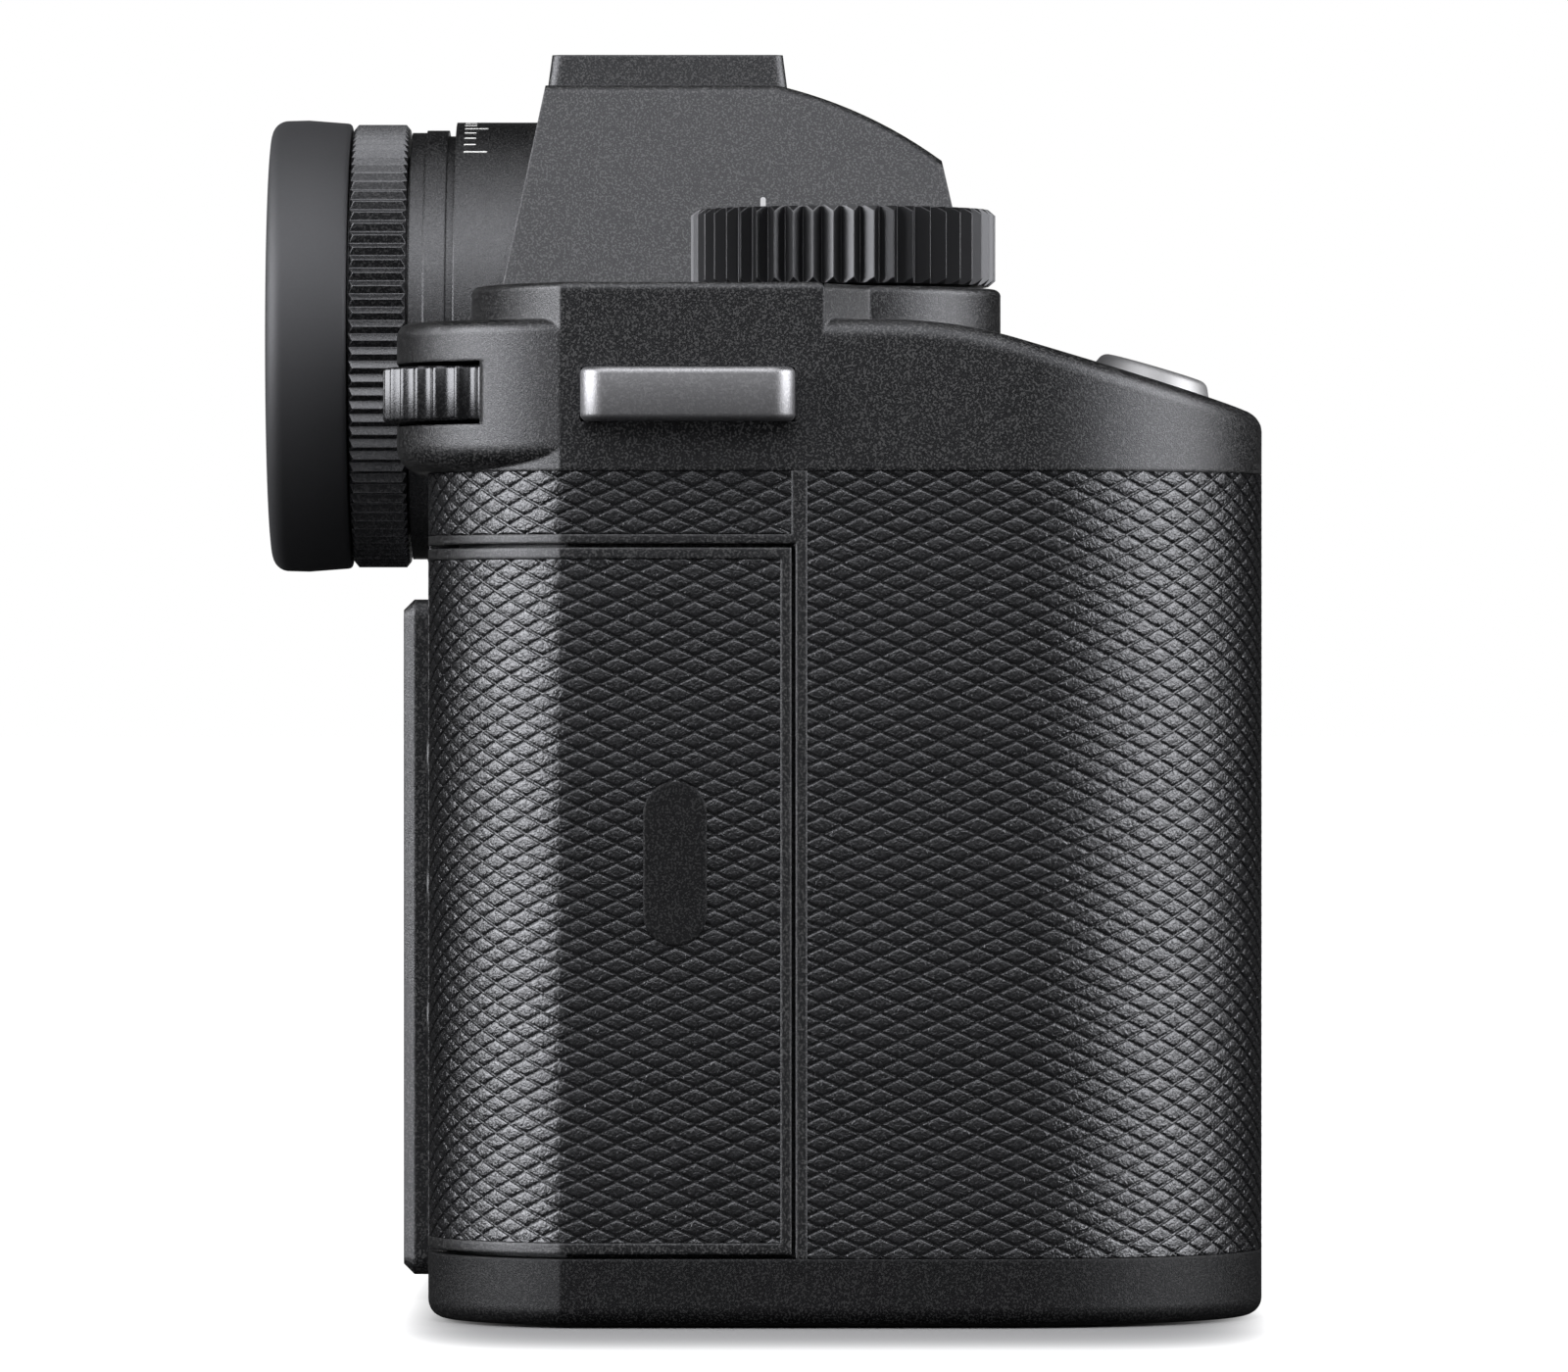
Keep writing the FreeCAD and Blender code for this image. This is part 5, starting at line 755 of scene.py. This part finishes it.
def diamond_sheet(length, low, high):
    """Flat slab of diamonds along X, front towards -Y, cut to length and height."""
    fresh()
    columns = math.ceil(length / DIAMOND_WIDE) + 2
    first = math.floor((low - PHASE_Z) / DIAMOND_HIGH)
    rows = math.ceil((high - PHASE_Z) / DIAMOND_HIGH) - first
    wide, tall = columns * DIAMOND_WIDE, rows * DIAMOND_HIGH
    middle = (wide / 2 - PHASE_X, GROOVE, PHASE_Z + first * DIAMOND_HIGH + tall / 2)
    bpy.ops.mesh.primitive_grid_add(x_subdivisions=columns, y_subdivisions=rows, size=1.0,
                                    rotation=(math.radians(90), 0, 0),
                                    location=[value * MM for value in middle])
    obj = bpy.context.active_object
    apply_place(location=False)
    mode("EDIT")
    pick_all()
    bpy.ops.transform.resize(value=(wide * MM, 1.0, tall * MM))
    extrude(y=SKIN - GROOVE)
    pick_all()
    bpy.ops.mesh.normals_make_consistent(inside=False)
    pick(obj, "FACE", facing("y", -1))
    bpy.ops.mesh.poke()
    pick(obj, "EDGE", on_grid)
    bpy.ops.mesh.dissolve_edges(use_verts=False)
    pick(obj, "FACE", facing("y", -1))
    for thickness, depth in SHOULDER:
        inset(thickness, depth, each=True)
    mode("OBJECT")
    apply_place(rotation=False)
    mode("EDIT")
    for point, normal, above in (((0, 0, 0), (1, 0, 0), False), ((length, 0, 0), (1, 0, 0), True),
                                 ((0, 0, low), (0, 0, 1), False), ((0, 0, high), (0, 0, 1), True)):
        pick_all()
        bpy.ops.mesh.bisect(plane_co=[value * MM for value in point], plane_no=normal,
                            use_fill=True, clear_inner=not above, clear_outer=above)
    mode("OBJECT")
    return obj


def bent_skin(line, length, low, high):
    """Sheet of diamonds between two heights, bent along a line on the plan."""
    obj = diamond_sheet(length, low + HAIRLINE, high - HAIRLINE)
    modifier = obj.modifiers.new("bend", "CURVE")
    modifier.object = line
    modifier.deform_axis = "POS_X"
    apply_modifiers(obj)
    return obj


def cut_away(obj, cutters):
    for cutter in cutters:
        modifier = obj.modifiers.new("cut", "BOOLEAN")
        modifier.operation = "DIFFERENCE"
        modifier.solver = "EXACT"
        modifier.object = cutter
    apply_modifiers(obj)
    mode("EDIT")
    pick_all()
    bpy.ops.mesh.dissolve_degenerate(threshold=0.004 * MM)
    mode("OBJECT")
    for cutter in cutters:
        bpy.data.objects.remove(cutter)


print("sheet helpers ready")

# %% Skins of the grip and of the port side
SKIN_LOW, SKIN_HIGH = 5.5, 69.9
LENS_Z, MOUNT_BOSS_R = 42.0, 36.0
KEY_HOLES, KEY_HOLE_R = ((-36, FRONT_Y, 62), (-36, FRONT_Y, 22)), 3.05
RELEASE_HOLE, RELEASE_HOLE_R = (38, FRONT_Y, 20), 5.35
CUT_DEEP = 8


def mount_cutter():
    return cylinder((0, FRONT_Y, LENS_Z), MOUNT_BOSS_R, CUT_DEEP, sides=160)


grip_skin = bent_skin(grip_line, grip_length, SKIN_LOW, SKIN_HIGH)
cut_away(grip_skin, [mount_cutter()] + [
    cylinder(hole, KEY_HOLE_R, CUT_DEEP) for hole in KEY_HOLES])
finish_piece(grip_skin, "grip_skin", leather, "camera_body")
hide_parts("grip_leather")

port_skin = bent_skin(port_line, port_length, SKIN_LOW, SKIN_HIGH)
cut_away(port_skin, [mount_cutter(), cylinder(RELEASE_HOLE, RELEASE_HOLE_R, CUT_DEEP)])
finish_piece(port_skin, "port_skin", leather, "camera_body")
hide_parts("port_leather")

# %% [markdown]
# ## Skins of the card door and the strip above it
# The door has its own skin inside a thin painted frame, with an oval hole for the thumb pad. The
# cutter for the hole is a cylinder whose upper half is moved up in edit mode.

# %% Door skin and strip
DOOR_LEATHER_LOW, DOOR_LEATHER_HIGH, STRIP_LOW = 6.8, 62.7, 64.7
PAD_Y, PAD_R, PAD_LOW, PAD_HIGH = 3.7, 2.6, 31.1, 44.5
door_skin = bent_skin(door_line, door_length, DOOR_LEATHER_LOW, DOOR_LEATHER_HIGH)
oval = cylinder((GRIP_X, PAD_Y, PAD_LOW + PAD_R), PAD_R, CUT_DEEP, axis="X")
keep_only(oval)
mode("EDIT")
pick(oval, "VERT", lambda vert: vert.co.z > (PAD_LOW + PAD_R + 0.01) * MM)
bpy.ops.transform.translate(value=(0, 0, (PAD_HIGH - PAD_LOW - 2 * PAD_R) * MM))
mode("OBJECT")
cut_away(door_skin, [oval])
finish_piece(door_skin, "door_skin", leather, "door_body")
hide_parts("door_leather")

thumb_skin = bent_skin(thumb_line, thumb_length, STRIP_LOW, SKIN_HIGH)
finish_piece(thumb_skin, "thumb_skin", leather, "camera_body")
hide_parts("thumb_leather")
for line in (grip_line, port_line, door_line, thumb_line):
    bpy.data.objects.remove(line)

# %% [markdown]
# ## Eyecup
# The cup is soft rubber with a fat round lip, pushed over the end of the sleeve. A cylinder is
# the nearest primitive: its rear end is inset and pushed in for the funnel, both ends are bridged
# for the sleeve, and the edges are bevelled as wide as the moulded lip.

# %% Eyecup
EYE_Z = 82.1
CUP_FRONT, CUP_REAR, SLEEVE_END = 32.6, 39.6, 36.0
CUP_R, CUP_FRONT_R, MOUTH_R, FUNNEL_R, SLEEVE_R = 19.8, 19.5, 16.6, 14.8, 16.5
FRONT_LIP, MOUTH_LIP, REAR_LIP = 0.35, 0.9, 1.5
BULGE_Y, BULGE, BULGE_FROM_R = 36.4, 1.006, 19
EYE_CENTRE = (0.0, 0.0, EYE_Z * MM)


def from_axis(point):
    """Distance from the axis of the eyepiece, in millimetres."""
    return math.hypot(point.x, point.z - EYE_Z * MM) / MM


def ring_edges(radius, y):
    """Test for the edges of one ring round the eyepiece axis."""
    return lambda edge: all(abs(from_axis(vert.co) - radius) < 0.08 and
                            abs(vert.co.y / MM - y) < 0.05 for vert in edge.verts)


def is_end(face):
    """Whether a face closes an end of the cup, and isn't a strip of its side."""
    return len(face.verts) > 10


eyecup = cylinder((0, (CUP_FRONT + CUP_REAR) / 2, EYE_Z), CUP_R, CUP_REAR - CUP_FRONT, sides=144)
mode("EDIT")
pick(eyecup, "FACE", facing("y", 1))
inset(CUP_R - MOUTH_R)
extrude(y=SLEEVE_END - CUP_REAR)
widen(FUNNEL_R / MOUTH_R, EYE_CENTRE)
extrude()
widen(SLEEVE_R / FUNNEL_R, EYE_CENTRE)
pick(eyecup, "FACE", lambda face: face.normal.y < -0.9 and is_end(face))
inset(CUP_R - SLEEVE_R)
pick(eyecup, "FACE", is_end)
bpy.ops.mesh.bridge_edge_loops()
pick(eyecup, "EDGE", ring_edges(CUP_R, CUP_FRONT))
widen(CUP_FRONT_R / CUP_R, EYE_CENTRE)
bevel(FRONT_LIP, 3)
pick(eyecup, "EDGE", ring_edges(MOUTH_R, CUP_REAR))
bevel(MOUTH_LIP, 5)
pick(eyecup, "EDGE", ring_edges(CUP_R, CUP_REAR))
bevel(REAR_LIP, 8)
pick_all()
bpy.ops.mesh.bisect(plane_co=(0, BULGE_Y * MM, 0), plane_no=(0, 1, 0))
pick(eyecup, "VERT", lambda vert: abs(vert.co.y - BULGE_Y * MM) < 1e-6 and
     from_axis(vert.co) > BULGE_FROM_R)
widen(BULGE, EYE_CENTRE)
pick_all()
bpy.ops.mesh.remove_doubles(threshold=0.001 * MM)
bpy.ops.mesh.normals_make_consistent(inside=False)
mode("OBJECT")
finish_piece(eyecup, "eyecup_rubber", finishes["eyecup_rubber"], "camera_body",
             angle=50)
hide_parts("eyecup")

# %% [markdown]
# ## Dioptre scale
# The barrel has a fine engraved scale filled with white paint: a line every four degrees, and a
# long one at every fourth. Each line is made on top of the barrel and turned to its place.

# %% Dioptre scale
BARREL_R, TICK_REAR, TICK_WIDE, TICK_STEP = 19.6, 22.65, 0.2, 4.0
TICKS_EACH_WAY, TICK_LONG, TICK_SHORT = 8, 2.05, 1.05
PAINT_THICK = 0.04


def painted_line(wide, long, place):
    """Thin plate with round ends, long along Y, facing up."""
    fresh()
    bpy.ops.mesh.primitive_cube_add(size=1.0, location=[value * MM for value in place])
    line = bpy.context.active_object
    mode("EDIT")
    pick_all()
    bpy.ops.transform.resize(value=(wide * MM, long * MM, PAINT_THICK * MM))
    pick(line, "EDGE", lambda edge: rise(edge) > 0.5 * PAINT_THICK * MM)
    bevel(0.45 * wide, 3)
    mode("OBJECT")
    apply_place(scale=True)
    return line


ticks = []
for step in range(-TICKS_EACH_WAY, TICKS_EACH_WAY + 1):
    long = TICK_LONG if step % 4 == 0 else TICK_SHORT
    tick = painted_line(TICK_WIDE, long, (0, TICK_REAR - long / 2, EYE_Z + BARREL_R))
    mode("EDIT")
    pick_all()
    bpy.ops.transform.rotate(value=math.radians(step * TICK_STEP), orient_axis="Y",
                             center_override=EYE_CENTRE)
    mode("OBJECT")
    ticks.append(tick)
join_pieces(ticks)
finish_piece(ticks[0], "dioptre_scale", finishes["white_paint"], "camera_body")

# %% [markdown]
# ## Index mark
# A short grey line on the flank of the housing shows where to read the dial beside it. A ray
# from the grip side finds the slanted flank, and the line is laid on it.

# %% Index mark
INDEX_Y, INDEX_LOW, INDEX_HIGH, INDEX_WIDE = -3.4, 90.0, 94.5, 0.46
RAY_START_X = -0.1
middle = (INDEX_LOW + INDEX_HIGH) / 2
hit, flank, outward, face_index = nodes["prism_housing"].ray_cast(
    (RAY_START_X, INDEX_Y * MM, middle * MM), (1.0, 0.0, 0.0))
index_mark = painted_line(INDEX_WIDE, INDEX_HIGH - INDEX_LOW, (0, 0, 0))
index_mark.rotation_euler = outward.to_track_quat("Z", "Y").to_euler()
index_mark.location = flank
finish_piece(index_mark, "index_mark", finishes["grey_paint"], "camera_body")
print("flank at", [round(value / MM, 2) for value in flank], "faces", outward)

# %% [markdown]
# ## Strap lugs
# Each lug is a loop of satin steel. Its ends are rounded wide and its rims narrow, so it is a
# block that is bevelled twice, and then the slot for the strap is cut.

# %% Strap lugs
LUG_FRONT, LUG_REAR, LUG_LOW, LUG_HIGH = -6.1, 11.4, 73.9, 78.3
LUG_ROOT, LUG_PROUD, LUG_BAR, LUG_LEG = 1.6, 4.4, 1.8, 2.2
LUG_CORNER, LUG_RIM = 2.0, 0.55


def strap_loop(wall, outward):
    """Loop that stands out from a wall and is rooted in it."""
    near, far = wall - outward * LUG_ROOT, wall + outward * LUG_PROUD
    root, tip = sorted((near, far))
    loop = block((root, LUG_FRONT, LUG_LOW), (tip, LUG_REAR, LUG_HIGH))
    mode("EDIT")
    pick(loop, "EDGE", lambda edge: rise(edge) > 1e-3 and
         all(abs(vert.co.x - far * MM) < 1e-6 for vert in edge.verts))
    bevel(LUG_CORNER, 8)
    pick(loop, "EDGE", lambda edge: rise(edge) < 1e-6 and
         any(abs(vert.co.x - near * MM) > 1e-6 for vert in edge.verts))
    bevel(LUG_RIM, 4)
    mode("OBJECT")
    slot_low, slot_high = sorted((near - outward, far - outward * LUG_BAR))
    cut_away(loop, [block((slot_low, LUG_FRONT + LUG_LEG, LUG_LOW - 1),
                          (slot_high, LUG_REAR - LUG_LEG, LUG_HIGH + 1))])
    return loop


lugs = [strap_loop(GRIP_X, -1), strap_loop(PORT_X, 1)]
join_pieces(lugs)
finish_piece(lugs[0], "strap_loops", finishes["lug_steel"], "camera_body", angle=35)
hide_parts("strap_lugs")

# %% [markdown]
# ## Thumb wheel
# The wheel has 35 smooth ribs with scoops between them. A cylinder with six sides to each rib is
# shaped by pulling the vertices of the scoops towards the axis, and its rims are bevelled.

# %% Thumb wheel
WHEEL_X, WHEEL_Y, WHEEL_Z, WHEEL_R, WHEEL_THICK = -64.0, 15.6, 76.35, 12.4, 4.5
WHEEL_RIBS, RIB_TURN = 35, 6.54
RIB_STEPS, SCOOPS = (0, 1), (((2, 5), 0.968), ((3, 4), 0.952))
RIB_ROUND, RIM_ROUND = 0.17, 0.35
wheel = cylinder((WHEEL_X, WHEEL_Y, WHEEL_Z), WHEEL_R, WHEEL_THICK, axis="Z",
                 sides=6 * WHEEL_RIBS, turn=RIB_TURN)


def rib_step(vert):
    """Which sixth of a rib's pitch a vertex of the wheel's rim is at."""
    angle = math.degrees(math.atan2(vert.co.y - WHEEL_Y * MM, vert.co.x - WHEEL_X * MM))
    return round((angle - RIB_TURN) / (360 / (6 * WHEEL_RIBS))) % 6


mode("EDIT")
for steps, ratio in SCOOPS:
    pick(wheel, "VERT", lambda vert: rib_step(vert) in steps)
    bpy.ops.transform.resize(value=(ratio, ratio, 1.0),
                             center_override=(WHEEL_X * MM, WHEEL_Y * MM, 0.0))
pick(wheel, "EDGE", lambda edge: rise(edge) > 1e-3 and rib_step(edge.verts[0]) in RIB_STEPS)
bevel(RIB_ROUND, 4)
pick(wheel, "EDGE", lambda edge: len(edge.link_faces) == 2 and
     any(len(face.verts) > 20 for face in edge.link_faces))
bevel(RIM_ROUND, 3)
mode("OBJECT")
finish_piece(wheel, "ribbed_wheel", finishes["wheel_black"], "thumb_wheel_body",
             angle=28)
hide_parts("thumb_wheel")

# %% [markdown]
# ## Shutter button
# The button is a low cone with a rounded rim and a shallow dish for the fingertip. A cone is the
# nearest primitive: its rim is bevelled, its top is inset and sunk, and the stem is extruded down.

# %% Shutter button
BUTTON_FOOT, BUTTON_TILT = (-62.0, -35.6, 77.446), 16.3
BUTTON_R, BUTTON_TOP_R, BUTTON_HIGH, BUTTON_STEM_R, BUTTON_STEM = 5.05, 4.45, 1.3, 2.6, 3.0
BUTTON_DISH, BUTTON_ROUND = ((1.1, 0.0), (1.2, -0.12), (1.2, -0.08)), 0.5
fresh()
bpy.ops.mesh.primitive_cone_add(vertices=128, radius1=BUTTON_R * MM, radius2=BUTTON_TOP_R * MM,
                                depth=BUTTON_HIGH * MM, location=(0, 0, BUTTON_HIGH / 2 * MM))
button = bpy.context.active_object
apply_place()
mode("EDIT")
pick(button, "FACE", facing("z", 1))
for thickness, depth in BUTTON_DISH:
    inset(thickness, depth)
pick(button, "FACE", facing("z", -1))
inset(BUTTON_R - BUTTON_STEM_R)
extrude(z=-BUTTON_STEM)
pick(button, "EDGE", lambda edge: all(
    abs(math.hypot(vert.co.x, vert.co.y) / MM - BUTTON_TOP_R) < 0.02 and
    vert.co.z / MM > BUTTON_HIGH - 0.02 for vert in edge.verts))
bevel(BUTTON_ROUND, 6)
mode("OBJECT")
button.rotation_euler = (math.radians(BUTTON_TILT), 0.0, 0.0)
button.location = [value * MM for value in BUTTON_FOOT]
finish_piece(button, "release_button", finishes["satin_silver"], "shutter_button_body")
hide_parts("shutter_button")

# %% [markdown]
# ## Joystick
# The photograph shows nothing behind the body between the eyepiece and the display, so the tip of
# the stick lies flush in its hole. It is a short cylinder with a sunk top, a neck and a flange.

# %% Joystick
STICK_X, STICK_Z, STICK_TIP_R, STICK_NECK_R, STICK_FLANGE_R = -39.0, 59.0, 3.2, 1.7, 3.6
STICK_TIP, STICK_TIP_THICK, STICK_LOW, STICK_FLANGE = 24.4, 1.0, 22.3, 0.6
STICK_DISH, STICK_ROUND = ((0.8, 0.0), (0.5, -0.35)), 0.3
STICK_CENTRE = (STICK_X * MM, 0.0, STICK_Z * MM)
stick = cylinder((STICK_X, STICK_TIP - STICK_TIP_THICK / 2, STICK_Z), STICK_TIP_R,
                 STICK_TIP_THICK)
mode("EDIT")
pick(stick, "FACE", facing("y", 1))
for thickness, depth in STICK_DISH:
    inset(thickness, depth)
pick(stick, "FACE", facing("y", -1))
inset(STICK_TIP_R - STICK_NECK_R)
extrude(y=-(STICK_TIP - STICK_TIP_THICK - STICK_LOW - STICK_FLANGE))
extrude()
widen(STICK_FLANGE_R / STICK_NECK_R, STICK_CENTRE)
extrude(y=-STICK_FLANGE)
pick(stick, "EDGE", lambda edge: all(
    vert.co.y / MM > STICK_TIP - 0.01 and
    math.hypot(vert.co.x / MM - STICK_X, vert.co.z / MM - STICK_Z) > STICK_TIP_R - 0.01
    for vert in edge.verts))
bevel(STICK_ROUND, 4)
pick_all()
bpy.ops.mesh.normals_make_consistent(inside=False)
mode("OBJECT")
finish_piece(stick, "thumb_stick", finishes["key_black"], "joystick_body")
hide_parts("joystick")
